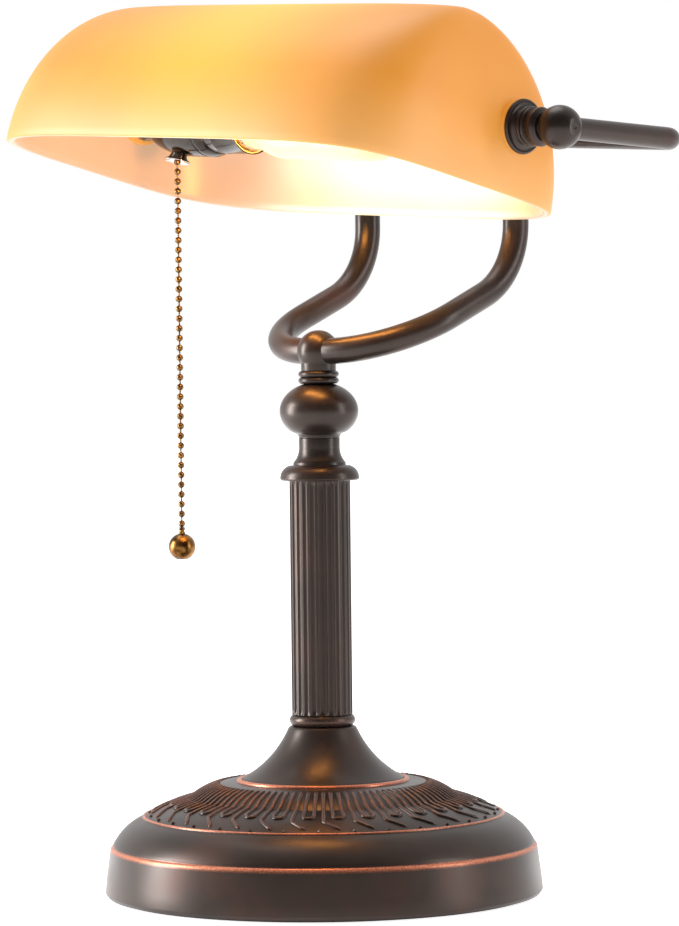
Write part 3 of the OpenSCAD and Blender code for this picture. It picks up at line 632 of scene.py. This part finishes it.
# %% [markdown]
# ## The yoke
# The yoke passes through the knuckle from side to side, swings back in a sloping plane on both
# sides, and turns upright behind the column. It is one tube, so it is one path: from the top of
# the left arm, down, through the knuckle and up the right arm.

# %% Yoke and knuckle
YOKE_R = 5.75
YOKE_HALF = 46
YOKE_BACK = 79
YOKE_RISE = 22.5
YOKE_BEND = 40
ARM_BEND = 34.5


def yoke_arm(side):
    slope = Vector((0, cos(radians(YOKE_RISE)), sin(radians(YOKE_RISE))))
    across = Vector((0, sin(radians(YOKE_RISE)), -cos(radians(YOKE_RISE))))
    out = Vector((side, 0, 0))
    start = Vector((0, 0, KNUCKLE_Z))
    turn = 90 - YOKE_RISE
    elbow = start + out * YOKE_HALF + slope * (YOKE_BACK / cos(radians(YOKE_RISE)))
    plan_hub = start + out * (YOKE_HALF - YOKE_BEND) + slope * YOKE_BEND
    upright_hub = elbow + Vector((0, -ARM_BEND, ARM_BEND * tan(radians(turn / 2))))
    top = high("yoke_tube") - side * YOKE_HALF * tan(head_lean) - YOKE_HALF * tan(head_lean)
    path = [(start, out)] + arc(plan_hub, -slope, out, YOKE_BEND, 90)
    path += arc(upright_hub, across, slope, ARM_BEND, turn)
    return path + [(Vector((side * YOKE_HALF, YOKE_BACK, top)), Vector((0, 0, 1)))]


left_arm, right_arm = yoke_arm(-1), yoke_arm(1)
yoke_path = [(point, -way) for point, way in reversed(left_arm[1:])] + right_arm[1:]
yoke_up = Vector((0, -sin(radians(YOKE_RISE)), cos(radians(YOKE_RISE))))
yoke = swept("yoke_bent_tube", yoke_path, YOKE_R, yoke_up)
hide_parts("yoke_tube")

KNUCKLE_R = 9.25
KNUCKLE_NECK_R = 7.7
neck_foot = NECK_Z + 4 * neck_bead
join = asin(KNUCKLE_NECK_R / KNUCKLE_R)
knuckle = [(ROD_R, neck_foot), (KNUCKLE_NECK_R, neck_foot),
           (KNUCKLE_NECK_R, KNUCKLE_Z - KNUCKLE_R * cos(join))]
knuckle += [(KNUCKLE_R * sin(t), KNUCKLE_Z - KNUCKLE_R * cos(t))
            for t in (join + (pi - join) * i / 24 for i in range(1, 24))]
knuckle += [(0.01, KNUCKLE_Z + KNUCKLE_R), (0.01, neck_foot)]
turned("knuckle_casting", knuckle, "knuckle")
print("yoke path has", len(yoke_path), "stations")

# %% [markdown]
# ## The bracket
# The bracket is one more tube: a crossbar behind the shade with its two ends bent forward. It
# leans and pitches with the whole head of the lamp, so its path is drawn straight in the head's
# own axes, where +X runs along the shade, and is then turned into place.

# %% Bracket, tees and pivot balls
REACH = 76.5
PIVOT_BALL_R = 9.3
BRACKET_R = 4.75
BRACKET_BEND = 10
# Distance of the pivot balls from the middle: boss face, gap, disc, collar and ball, in a row
BOSS_FACE = 119.6
PIVOT_GAP = 0.35
DISC_X = BOSS_FACE + PIVOT_GAP
DISC_T = 3.6
COLLAR_X = DISC_X + DISC_T
COLLAR_H = 9.2
BALL_X = COLLAR_X + COLLAR_H + PIVOT_BALL_R - 0.9


def bracket_path():
    x, y = Vector((1, 0, 0)), Vector((0, 1, 0))
    left_end = Vector((-BALL_X, PIVOT_BALL_R - 2.5, 0))
    right_end = Vector((BALL_X, PIVOT_BALL_R - 2.5, 0))
    left_hub = Vector((-BALL_X + BRACKET_BEND, REACH - BRACKET_BEND, 0))
    right_hub = Vector((BALL_X - BRACKET_BEND, REACH - BRACKET_BEND, 0))
    path = [(left_end, y)] + arc(left_hub, -x, y, BRACKET_BEND, 90)
    path += arc(right_hub, y, x, BRACKET_BEND, 90)
    return path + [(right_end, -y)]


bracket = swept("bracket_bent_tube", [(head_frame @ (p * MM) / MM, head_turn.to_3x3() @ w)
                                      for p, w in bracket_path()],
                BRACKET_R, head_turn.to_3x3() @ Vector((0, 0, 1)))
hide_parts("bracket_tube")


def sphere_profile(radius, steps=28):
    angles = [pi * i / steps for i in range(steps + 1)]
    return [(max(0.01, radius * sin(a)), -radius * cos(a)) for a in angles]


def along_pivot(side):
    """Turns a piece that was drawn up +Z so that it lies outwards along the pivot axis."""
    return head_frame @ Matrix.Rotation(radians(90 * side), 4, "Y")


for side, sign in (("left", -1), ("right", 1)):
    tee_place = head_frame @ Matrix.Translation(Vector((sign * YOKE_HALF, REACH, 0)) * MM)
    turned(f"tee_ball_{side}", sphere_profile(YOKE_R * 2 - 1.5), f"yoke_tee_{side}", place=tee_place,
           segments=64)
    ball_place = along_pivot(sign) @ Matrix.Translation((0, 0, BALL_X * MM))
    ball_shape = [p for p in sphere_profile(PIVOT_BALL_R, 40) if -PIVOT_BALL_R + 0.9 < p[1] and
                  (p[1] < 0 or p[0] > 3.3)]
    ball_shape += [(3.1, ball_shape[-1][1] + 0.1), (0.9, ball_shape[-1][1] + 0.15),
                   (0.5, ball_shape[-1][1] - 0.3), (0.01, ball_shape[-1][1] - 0.4)]
    turned(f"pivot_ball_cast_{side}", [(5, ball_shape[0][1])] + ball_shape, f"pivot_ball_{side}",
           place=ball_place, segments=64, corner=0.1)
print("bracket reaches", round(BALL_X, 1), "mm to each side")

# %% [markdown]
# ## Discs and collars
# Between each ball and the glass sit a ringed collar and a shallow dish that hides the hole in
# the shade. The dish is a thin stamping with a rounded rim, and the collar has two beads and a
# short drum. Both are turned pieces that lie along the pivot axis.

# %% Discs and collars
DISH_R = 11.75
dish = [(4.9, 0), (DISH_R - 0.6, 0), (DISH_R, 0.6), (DISH_R - 0.15, 1.3)]
dish += bow((DISH_R - 0.9, 1.75), (8.4, 2.0), -0.35, 8)
dish += bow((8.0, 2.3), (7.2, DISC_T - 0.1), 0.2, 4)
dish += [(6.6, DISC_T), (4.9, DISC_T)]
collar = [(4.9, 0)] + half_round(7.8, 0, 0.9, 0.05, 8) + half_round(7.6, 1.9, 0.8, 0.05, 8)
collar += [(7.3, 3.7)] + bow((7.4, 3.8), (8.3, 7.6), 0.25, 8)
collar += [(7.6, 8.3), (6.6, COLLAR_H - 0.3), (6.4, COLLAR_H), (4.9, COLLAR_H)]
for side, sign in (("left", -1), ("right", 1)):
    turned(f"pivot_dish_{side}", dish, f"shade_disc_{side}", corner=0.15, segments=72,
           place=along_pivot(sign) @ Matrix.Translation((0, 0, DISC_X * MM)))
    turned(f"ringed_collar_{side}", collar, f"pivot_collar_{side}", corner=0.1, segments=72,
           place=along_pivot(sign) @ Matrix.Translation((0, 0, COLLAR_X * MM)))
print("dish", 2 * DISH_R, "mm across")

# %% [markdown]
# ## Amber cased glass
# The shade is two layers of glass blown together: clear amber outside and thin white opal
# inside. The outside is etched with acid to a satin surface, so it shows no sharp reflections.
# The opal scatters the bulb's light and the whole shade glows, yellow where the bulb is close and
# deeper orange towards the ends. Light through opal can be traced, but it takes very long to
# become smooth, so the glow is painted instead, worked out from how far each spot is from the
# bulb. Near the rim that painted glow is paler.

# %% Glass materials
SHADE_L = 240
SHADE_W = 152
SHADE_H = 75
CROWN_INSET = 46
SQUARENESS = 4.6
GLASS_T = 3
SHADE_TILT = radians(9.8)
PIVOT_BACK = 22
PIVOT_UP = 29.7
shade_frame = (head_frame @ Matrix.Rotation(-SHADE_TILT, 4, "X")
               @ Matrix.Translation(Vector((0, -PIVOT_BACK, -PIVOT_UP)) * MM))
bulb_middle = head_frame @ Vector((0.010, 0, 0))
shade_up = (shade_frame.to_3x3() @ Vector((0, 0, 1))).normalized()


def bulb_distance(tree, where, across):
    """Distance from the bulb's middle in metres. Across scales the part that isn't along the bulb."""
    moved = add(tree, "ShaderNodeVectorMath", settings={"operation": "SUBTRACT"}, links={0: where},
                values={1: bulb_middle}).outputs[0]
    scaled = add(tree, "ShaderNodeVectorMath", settings={"operation": "MULTIPLY"}, links={0: moved},
                 values={1: (1.0, across, across)}).outputs[0]
    return add(tree, "ShaderNodeVectorMath", settings={"operation": "LENGTH"},
               links={0: scaled}).outputs["Value"]


def rim_height(tree, where):
    """Height above the shade's open rim in metres, square to the rim."""
    height = add(tree, "ShaderNodeVectorMath", settings={"operation": "DOT_PRODUCT"}, links={0: where},
                 values={1: shade_up}).outputs["Value"]
    return add(tree, "ShaderNodeMath", settings={"operation": "SUBTRACT"}, links={0: height},
               values={1: shade_up.dot(shade_frame.translation)}).outputs[0]


def make_amber():
    material, tree, shader = new_material("amber_cased_glass", "#A8681C", 0.0, 0.5, IOR=1.5)
    where = where_on(tree)
    # Slow change of the amber layer's thickness, over about 50 mm
    swirl = noise(tree, where, 20.0, 2.0, Distortion=0.4)
    tree.links.new(graded(tree, swirl, (0.3, "#A05F14"), (0.7, "#AC6C20")), shader.inputs["Base Color"])
    near = remap(tree, bulb_distance(tree, where, 0.35), 0.015, 0.095)
    uneven = add(tree, "ShaderNodeMath", settings={"operation": "MULTIPLY_ADD"},
                 links={0: swirl, 2: near}, values={1: 0.16}).outputs[0]
    shifted = add(tree, "ShaderNodeMath", settings={"operation": "SUBTRACT"}, links={0: uneven},
                  values={1: 0.08}).outputs[0]
    glow = graded(tree, shifted, (0.0, "#DDB42A"), (0.35, "#CC9C30"), (0.65, "#BC8428"), (1.0, "#AE7224"))
    # Painted light: the painted glow turns paler towards the rim, within 34 mm of it
    rim = remap(tree, rim_height(tree, where), 0.0, 0.034, 0.7, 0.0)
    tree.links.new(mixed(tree, rim, glow, "#BC9C6A"), shader.inputs["Emission Color"])
    shader.inputs["Emission Strength"].default_value = 1.0
    roughened(tree, shader, noise(tree, where, 45.0, 2.0), 0.04, 0.002)
    return material


def make_opal():
    material, tree, shader = new_material("white_opal_lining", "#8C7868", 0.0, 0.35, IOR=1.5)
    where = where_on(tree)
    near = remap(tree, bulb_distance(tree, where, 0.35), 0.026, 0.105, kind="SMOOTHSTEP")
    glow = graded(tree, near, (0.0, "#FFEFBE"), (0.45, "#DDBA88"), (1.0, "#A98C70"))
    tree.links.new(glow, shader.inputs["Emission Color"])
    shader.inputs["Emission Strength"].default_value = 0.8
    roughened(tree, shader, noise(tree, where, 300.0, 2.0), 0.03, 0.001)
    return material


amber = make_amber()
opal = make_opal()
print("glass:", amber.name, opal.name)

# %% [markdown]
# ## The shade
# The shade is blown into a mould shaped like a long loaf. Its level sections are rounded
# rectangles that shrink along a quarter ellipse from the open rim to the crown, which is easy to
# write as a formula and gives a surface with no seams. The wall is real: an outer skin, an inner
# skin and a rounded rim between them. Two flattened seats at the ends take the dishes, and the
# pins pass through real holes, which a boolean cuts as a glass worker would drill them.

# %% Shade
RINGS = 30
AROUND = 192
RIM_ROUND = 0.6


def rounded_power(value, power):
    return copysign(abs(value) ** power, value)


def loaf_point(length, width, height, turn, angle):
    """A point of the loaf. Turn goes from 0 at the rim to a quarter turn at the crown."""
    k = max(0.0, cos(turn))
    power = 2 / SQUARENESS
    return Vector(((length / 2 - CROWN_INSET / 2 * (1 - k)) * rounded_power(cos(angle), power),
                   width / 2 * k * rounded_power(sin(angle), power), height * sin(turn)))


def around_angles():
    """Angles that space the points evenly along the squared outline."""
    fine = [2 * pi * i / 4096 for i in range(4097)]
    points = [loaf_point(SHADE_L, SHADE_W, SHADE_H, 0, a) for a in fine]
    lengths = [0.0]
    for p, q in zip(points, points[1:]):
        lengths.append(lengths[-1] + (q - p).length)
    angles, k = [], 0
    for i in range(AROUND):
        goal = lengths[-1] * i / AROUND
        while lengths[k + 1] < goal:
            k += 1
        share = (goal - lengths[k]) / (lengths[k + 1] - lengths[k])
        angles.append(fine[k] + (fine[k + 1] - fine[k]) * share)
    return angles


def shade_rings():
    """Rings of points from the crown down the outside, round the rim and up the inside."""
    angles = around_angles()
    outer_turns = [pi / 2 * i / RINGS for i in range(RINGS, -1, -1)]
    rings = [[loaf_point(SHADE_L, SHADE_W, SHADE_H, t, a) for a in angles] for t in outer_turns]
    inner_size = (SHADE_L - 2 * GLASS_T, SHADE_W - 2 * GLASS_T, SHADE_H - GLASS_T)
    inner = [[loaf_point(*inner_size, pi / 2 * i / RINGS, a) for a in angles] for i in range(RINGS + 1)]
    rounding = []
    for i in range(1, 8):
        t = pi * i / 8
        middle = [(p + q) / 2 for p, q in zip(rings[-1], inner[0])]
        half = [(p - q) / 2 for p, q in zip(rings[-1], inner[0])]
        rounding.append([m + h * cos(t) - Vector((0, 0, RIM_ROUND * sin(t))) for m, h in zip(middle, half)])
    return rings + rounding + inner, len(rings) + 2


def build_shade():
    rings, amber_rows = shade_rings()
    # The rim's rounding hangs below the skins, so all of its neighbourhood is raised by as much
    lift = Vector((0, 0, RIM_ROUND))
    near_rim = RIM_ROUND + 0.1
    verts = [shade_frame @ ((p + (lift if p.z < near_rim else Vector())) * MM)
             for ring in rings for p in ring]
    mesh = bpy.data.meshes.new("glass_shade")
    mesh.from_pydata(verts, [], skin(len(rings), AROUND))
    mesh.materials.append(amber)
    mesh.materials.append(opal)
    for k, face in enumerate(mesh.polygons):
        face.material_index = 0 if k // AROUND < amber_rows else 1
    clean(mesh, 1e-6, slivers=True)
    return new_object("glass_shade", mesh)


def cylinder_tool(name, radius, start, end, sign, material):
    """A plain cylinder along the pivot axis, used only to add or cut."""
    verts, faces = lathe_mesh([(0.001, start), (radius, start), (radius, end), (0.001, end)], 64, True)
    mesh = bpy.data.meshes.new(name)
    mesh.from_pydata([along_pivot(sign) @ (Vector(v) * MM) for v in verts], [], faces)
    mesh.materials.append(material)
    clean(mesh, 1e-5)
    return new_object(name, mesh)


def carve(obj, tool, operation):
    """Applies one boolean and removes the tool."""
    modifier = obj.modifiers.new(operation, "BOOLEAN")
    modifier.operation = operation
    modifier.object = tool
    modifier.solver = "EXACT"
    modifier.material_mode = "TRANSFER"
    shaped = bpy.data.meshes.new_from_object(obj.evaluated_get(bpy.context.evaluated_depsgraph_get()))
    obj.modifiers.clear()
    obj.data = shaped
    bpy.data.objects.remove(tool)


shade = build_shade()
SEAT_R = 11.25
SEAT_DEPTH = 7
HOLE_R = 4.96
for sign in (-1, 1):
    carve(shade, cylinder_tool("seat", SEAT_R, BOSS_FACE - SEAT_DEPTH, BOSS_FACE, sign, amber), "UNION")
    carve(shade, cylinder_tool("drill", HOLE_R, BOSS_FACE - 30, BOSS_FACE + 10, sign, amber), "DIFFERENCE")
shade.data.shade_smooth()
shade.data.set_sharp_from_angle(angle=radians(40))
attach(shade, "shade_body")
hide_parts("shade")
print("shade faces:", len(shade.data.polygons))

# %% [markdown]
# ## Plated and bare metals
# A plated metal is a mirror with a tint. Only the tint, the roughness and the grain change from
# one to the next: dark nickel on the lampholder, bright chrome on the chain's guide, aged brass
# on the chain, zinc on the hidden washers and pins. Each gets a mottled grain, because a
# perfectly clean mirror looks like plastic.

# %% Plated metal recipe


def make_metal(name, dark, light, roughness, grain_mm=1.0, bump=0.1):
    material, tree, shader = new_material(name, dark, 1.0, roughness)
    grain = noise(tree, where_on(tree), 1000.0 / grain_mm, 4.0)
    tree.links.new(graded(tree, grain, (0.38, dark), (0.64, light)), shader.inputs["Base Color"])
    gloss = remap(tree, grain, 0.3, 0.7, roughness * 0.8, roughness * 1.25)
    tree.links.new(gloss, shader.inputs["Roughness"])
    roughened(tree, shader, grain, bump, 0.0002)
    return material


dark_nickel = make_metal("dark_nickel_plate", "#35302D", "#453F3B", 0.16, 8.0, 0.02)
bright_chrome = make_metal("bright_chrome_plate", "#A5A19B", "#C4C0BA", 0.1, 3.0, 0.03)
aged_brass = make_metal("aged_brass", "#4E3A22", "#8C6C42", 0.3, 1.2)
mottled_brass = make_metal("mottled_aged_brass", "#4A3016", "#A67840", 0.32, 4.0)
pressed_brass = make_metal("pressed_sheet_brass", "#B98A3E", "#D9AD5C", 0.3, 2.0)
zinc_plate = make_metal("zinc_plated_steel", "#9A9A98", "#B8B8B4", 0.34, 1.0)
black_oxide = make_metal("black_oxide_steel", "#2A2522", "#3A332E", 0.42, 1.0)
rolled_aluminium = make_metal("rolled_aluminium", "#B9B7B2", "#D2D0CC", 0.3, 1.5)
cast_iron = make_metal("rough_cast_iron", "#3E3A37", "#5A5550", 0.62, 1.6, 0.5)
print("materials so far:", len(bpy.data.materials))

# %% [markdown]
# ## The lampholder
# The lampholder is a thin brass shell with a dark plate. Its back is a bell that closes on the
# pivot pin, then a short straight housing for the switch, and then the socket shell, whose end
# is rolled outwards so that it doesn't cut the hand. Rolled beads stiffen the thin sheet.

# %% Lampholder
HOUSING_R = 16
SHELL_R = 14.5
PLATE = 0.6
WASHER_T = 1.6
NUT_T = 4
WASHER_X = BOSS_FACE - SEAT_DEPTH - PIVOT_GAP
HOUSING_X = WASHER_X - WASHER_T - NUT_T
SHELL_X = HOUSING_X - 44
SHELL_END = SHELL_X - 21

bell = [(SHELL_R - 0.9, SHELL_X), (SHELL_R, SHELL_X), (SHELL_R + 0.6, SHELL_X + 1.2)]
bell += [(HOUSING_R, SHELL_X + 3.6)]
bell += [(HOUSING_R, SHELL_X + 5), (HOUSING_R - 0.5, SHELL_X + 5.7), (HOUSING_R, SHELL_X + 6.4)]
bell += [(HOUSING_R, SHELL_X + 16)]
bell += bow((HOUSING_R, SHELL_X + 16), (9, HOUSING_X - 1.5), 2.2, 16)[1:]
bell += [(8.4, HOUSING_X), (5.05, HOUSING_X), (5.05, HOUSING_X - 2.5), (7.5, HOUSING_X - 3)]
bell += bow((8.4, HOUSING_X - 4), (HOUSING_R - 1.2, SHELL_X + 16), -2.2, 10)
bell += [(SHELL_R - 0.9, SHELL_X + 4)]
turned("switch_bell", bell, "switch_housing", dark_nickel, "dark_chrome", place=along_pivot(-1), corner=0.4)

shell = [(SHELL_R - PLATE, SHELL_END + 0.5), (SHELL_R - 0.3, SHELL_END), (SHELL_R, SHELL_END + 0.4)]
shell += [(SHELL_R - 0.25, SHELL_END + 1.1), (SHELL_R - 0.25, SHELL_END + 15)]
shell += [(SHELL_R, SHELL_END + 15.8), (SHELL_R - 0.25, SHELL_END + 16.6), (SHELL_R - 0.25, SHELL_X)]
shell += [(SHELL_R - PLATE, SHELL_X)]
turned("socket_shell", shell, "lampholder_shell", dark_nickel, "dark_chrome", place=along_pivot(-1),
       corner=0.2)
print("lampholder runs from", round(SHELL_END, 1), "to", round(HOUSING_X, 1), "mm left of the middle")

# %% [markdown]
# ## The chain's guide
# A pull chain leaves the lampholder through a small trumpet, which keeps the beads off the
# sharp edge of the housing. It is turned brass with a bright plate.

# %% Guide
GUIDE_X = SHELL_X + 23.3
GUIDE_SLANT = radians(12)
GUIDE_END = 19.2
MOUTH_R = 6.2
GUIDE_TOP = HOUSING_R - 2.5
guide_place = (head_frame @ Matrix.Translation((-GUIDE_X * MM, 0, 0))
               @ Matrix.Rotation(pi - GUIDE_SLANT, 4, "X"))
guide = [(1.8, GUIDE_TOP), (3.0, GUIDE_TOP), (3.0, GUIDE_TOP + 1.5), (3.5, GUIDE_TOP + 2.1)]
guide += [(4.2, GUIDE_END - 2.2), (4.6, GUIDE_END - 1.6)]
guide += bow((4.8, GUIDE_END - 1.4), (6.0, GUIDE_END - 0.5), 0.15, 4)
guide += [(MOUTH_R, GUIDE_END - 0.2), (MOUTH_R - 0.3, GUIDE_END)]
guide += bow((5.7, GUIDE_END - 0.1), (1.8, GUIDE_END - 1.6), 0.3, 6)
turned("chain_trumpet", guide, "chain_guide", bright_chrome, "chrome", place=guide_place, corner=0.12,
       segments=64)
print("guide mouth", 2 * MOUTH_R, "mm across")

# %% [markdown]
# ## The bead chain
# Ball chain is made of thin brass wire with hollow beads pressed round it, a little apart, so it
# bends anywhere. Each bead is pressed from a strip, so it is slightly barrel-shaped and closes in
# round the wire at both ends. One loop repeats the bead and its bit of wire at the chain's own
# pitch.

# %% Chain, coupling and pull ball
BEAD_R = 1.55
BEAD_PITCH = 4.43
BEADS = 37
WIRE_R = 0.36
BEAD_MOUTH_R = 0.42
CHAIN_SIDES = 20
swivel_low, swivel_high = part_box("swivel_bead")
swivel_point = (swivel_low + swivel_high) / 2


def bead_profile(drop):
    """One bead's outline, with its middle that far below the chain's top."""
    turns = [pi * i / 14 for i in range(1, 14)]
    shape = [(BEAD_R * sin(t) ** 0.92, -drop - BEAD_R * cos(t)) for t in turns]
    return [(BEAD_MOUTH_R, -drop - BEAD_R)] + shape + [(BEAD_MOUTH_R, -drop + BEAD_R)]


def chain_mesh(first, last, wire_to):
    """Beads from first to last, with a bit of wire below each one that is higher than wire_to."""
    verts, faces = [], []
    sides = CHAIN_SIDES

    def append(profile):
        more, quads = lathe_mesh(profile, sides, False)
        base = len(verts)
        verts.extend(more)
        faces.extend(tuple(base + k for k in quad) for quad in quads)
        faces.append(tuple(base + i for i in reversed(range(sides))))
        faces.append(tuple(base + (len(profile) - 1) * sides + i for i in range(sides)))

    for i in range(first, last + 1):
        append(bead_profile(i * BEAD_PITCH))
        if i * BEAD_PITCH < wire_to:
            append([(WIRE_R, -(i + 1) * BEAD_PITCH + BEAD_R * 0.8),
                    (WIRE_R, -i * BEAD_PITCH - BEAD_R * 0.8)])
    return verts, faces


swivel_place = Matrix.Translation(swivel_point)
links_verts, links_faces = chain_mesh(1, BEADS, (BEADS - 0.5) * BEAD_PITCH)
neck_wire, neck_faces = lathe_mesh([(WIRE_R, -BEAD_PITCH + BEAD_R * 0.8), (WIRE_R, -BEAD_R - 0.3)],
                                   CHAIN_SIDES, False)
base_count = len(links_verts)
links_verts += neck_wire
links_faces += [tuple(base_count + k for k in quad) for quad in neck_faces]
chain = finish_piece("ball_chain", links_verts, links_faces, aged_brass, "chain_body", place=swivel_place)
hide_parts("bead_chain")
top_verts, top_faces = chain_mesh(0, 0, -1)
top_bead = finish_piece("top_bead", top_verts, top_faces, aged_brass, "swivel_body", place=swivel_place)
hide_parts("swivel_bead")

coupling_low, coupling_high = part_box("chain_coupling")
coupling_top = (coupling_high.z - swivel_point.z) / MM
coupling_foot = (coupling_low.z - swivel_point.z) / MM
coupling = [(0.4, coupling_foot), (1.5, coupling_foot), (1.5, coupling_foot + 0.7)]
coupling += [(1.1, coupling_foot + 1.0), (1.1, coupling_foot + 1.6), (1.5, coupling_foot + 2.0)]
coupling += [(1.3, coupling_top), (0.4, coupling_top)]
turned("ball_coupling", coupling, "chain_coupling", aged_brass, "antique_brass", place=swivel_place,
       body="chain_body", segments=32, corner=0.15)

pull_low, pull_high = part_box("pull_ball")
PULL_R = (pull_high.x - pull_low.x) / 2 / MM
pull_middle = (pull_high.z - swivel_point.z) / MM - PULL_R + 0.2
foot_angle = acos((PULL_R - 0.5) / PULL_R)
turns = [foot_angle + (pi - foot_angle - 0.25) * i / 36 for i in range(37)]
pull = [(0.01, pull_middle - PULL_R + 0.5)]
pull += [(PULL_R * sin(t), pull_middle - PULL_R * cos(t)) for t in turns]
pull += [(0.01, pull_middle + PULL_R - 0.2)]
turned("pull_knob", pull, "pull_ball", mottled_brass, "antique_brass", place=swivel_place,
       body="chain_body", segments=64, corner=0.3)
print("chain hangs", round(BEADS * BEAD_PITCH, 1), "mm below its guide")

# %% [markdown]
# ## The bulb
# The bulb is a tubular one with a frosted envelope, which hides the filament. An emissive surface
# is enough for that: the frosting scatters so well that the glass is only a little dimmer far
# from its middle and at its edge. Three lamps of low power near it carry its warm light to the
# metal around it.

# %% Bulb
BULB_R = 16.2
CAP_R = 12.55
BULB_L = 92
BULB_X = SHELL_END + 1
BULB_END = BULB_X - BULB_L


def make_frosted():
    material, tree, shader = new_material("frosted_bulb_glass", "#6E604E", 0.0, 0.3, IOR=1.5)
    near = remap(tree, bulb_distance(tree, where_on(tree), 0.6), 0.015, 0.055, kind="SMOOTHSTEP")
    glow = graded(tree, near, (0.0, "#F0DDAE"), (1.0, "#D9BC8A"))
    # Seen edge on, the wall of the glass is thicker and holds back more light
    edge = add(tree, "ShaderNodeLayerWeight", values={"Blend": 0.2}).outputs["Facing"]
    sharp_edge = remap(tree, edge, 0.55, 0.95, kind="SMOOTHSTEP")
    tree.links.new(mixed(tree, sharp_edge, glow, "#8E6438"), shader.inputs["Emission Color"])
    shader.inputs["Emission Strength"].default_value = 0.85
    return material


frosted = make_frosted()

envelope_dome = BULB_END + BULB_R
envelope = [(CAP_R - 0.9, BULB_X), (CAP_R - 0.4, BULB_X), (CAP_R - 0.4, BULB_X - 6)]
envelope += bow((CAP_R - 0.4, BULB_X - 6), (14.2, BULB_X - 14), 0.4, 8)[1:]
envelope += bow((14.2, BULB_X - 14), (BULB_R, BULB_X - 24), -0.4, 8)[1:]
envelope += [(max(0.01, BULB_R * cos(t)), envelope_dome - BULB_R * sin(t)) for t in
             (pi / 2 * i / 20 for i in range(21))]
envelope += [(0.01, BULB_END + 0.8)]
envelope += [(max(0.01, (BULB_R - 0.8) * cos(t)), envelope_dome - (BULB_R - 0.8) * sin(t)) for t in
             (pi / 2 * i / 12 for i in range(11, -1, -1))]
envelope += [(BULB_R - 0.8, BULB_X - 24), (13.4, BULB_X - 14), (CAP_R - 0.9, BULB_X - 6)]
turned("bulb_envelope", envelope, "bulb_glass", frosted, "bulb_glass", place=along_pivot(-1),
       corner=0.2)


def lamp_glow(name, place, watts, size):
    light = bpy.data.lights.new(name, "POINT")
    light.energy = watts
    light.shadow_soft_size = size
    light.color = linear("#FFAC4E")[:3]
    new_object(name, light).location = place


for i in (-1, 0, 1):
    lamp_glow(f"bulb_light_{i + 2}", head_frame @ Vector((0.003 + 0.03 * i, -0.022, -0.022)), 0.26, 0.012)
print("bulb is", BULB_L, "mm long")

# %% [markdown]
# ## Small and hidden pieces
# Some CAD pieces have the right shape already: washers, nuts, pins, the weight and the plate. A
# CAD piece is never moved or reshaped here, so it only gets its finish. Felt and rubber are not
# metals: felt is a matte mat of fibres, rubber a dull black, and the fibre sleeve and the
# moulded core are brown plastics.

# %% Finishes for the CAD pieces


def make_plain(name, dark, light, roughness, grain_mm, bump):
    """A non-metal with a mottled colour and a fine relief."""
    material, tree, shader = new_material(name, dark, 0.0, roughness)
    grain = noise(tree, where_on(tree), 1000.0 / grain_mm, 5.0)
    tree.links.new(graded(tree, grain, (0.35, dark), (0.65, light)), shader.inputs["Base Color"])
    roughened(tree, shader, grain, bump, 0.0003)
    return material


wool_felt = make_plain("pressed_wool_felt", "#221E1B", "#38322D", 0.95, 1.2, 0.8)
black_rubber = make_plain("moulded_black_rubber", "#171513", "#24211F", 0.7, 1.5, 0.2)
stove_enamel = make_plain("black_stove_enamel", "#25221F", "#302C29", 0.35, 3.0, 0.1)
fibre = make_plain("vulcanised_fibre", "#B7A37A", "#CDBB94", 0.6, 1.5, 0.3)
phenolic = make_plain("moulded_phenolic", "#3A1D12", "#512A1B", 0.3, 4.0, 0.05)
stem_glass = make_plain("pressed_stem_glass", "#D5DCDC", "#EAF0F0", 0.1, 6.0, 0.02)
kept_nodes = {
    "felt_pad": wool_felt, "base_plate": stove_enamel, "base_weight": cast_iron,
    "cord_bushing": black_rubber,
    "rod_washer": zinc_plate, "rod_nut": zinc_plate, "centre_rod": zinc_plate, "knuckle_screw": black_oxide,
    "pivot_pin_left": zinc_plate, "pivot_pin_right": zinc_plate, "pivot_washer_left": zinc_plate,
    "pivot_washer_right": zinc_plate, "pivot_nut_left": black_oxide, "pivot_nut_right": black_oxide,
    "lampholder_liner": fibre, "screw_shell": pressed_brass, "centre_contact": pressed_brass,
    "switch_core": phenolic, "pull_link": aged_brass, "bulb_cap": rolled_aluminium,
    "bulb_stem": stem_glass, "bulb_filament": zinc_plate,
}
for name, material in kept_nodes.items():
    nodes[name].data.materials.clear()
    nodes[name].data.materials.append(material)
# A light table: the white sheet is lit from below too, which keeps it even out to the horizon
paper, _, paper_shader = new_material("pale_floor_paper", "#E8E8E8", 0.0, 0.9)
paper_shader.inputs["Emission Color"].default_value = linear("#FFFFFF")
paper_shader.inputs["Emission Strength"].default_value = 0.85
floor.data.materials.append(paper)
print("CAD pieces given a finish:", len(kept_nodes))
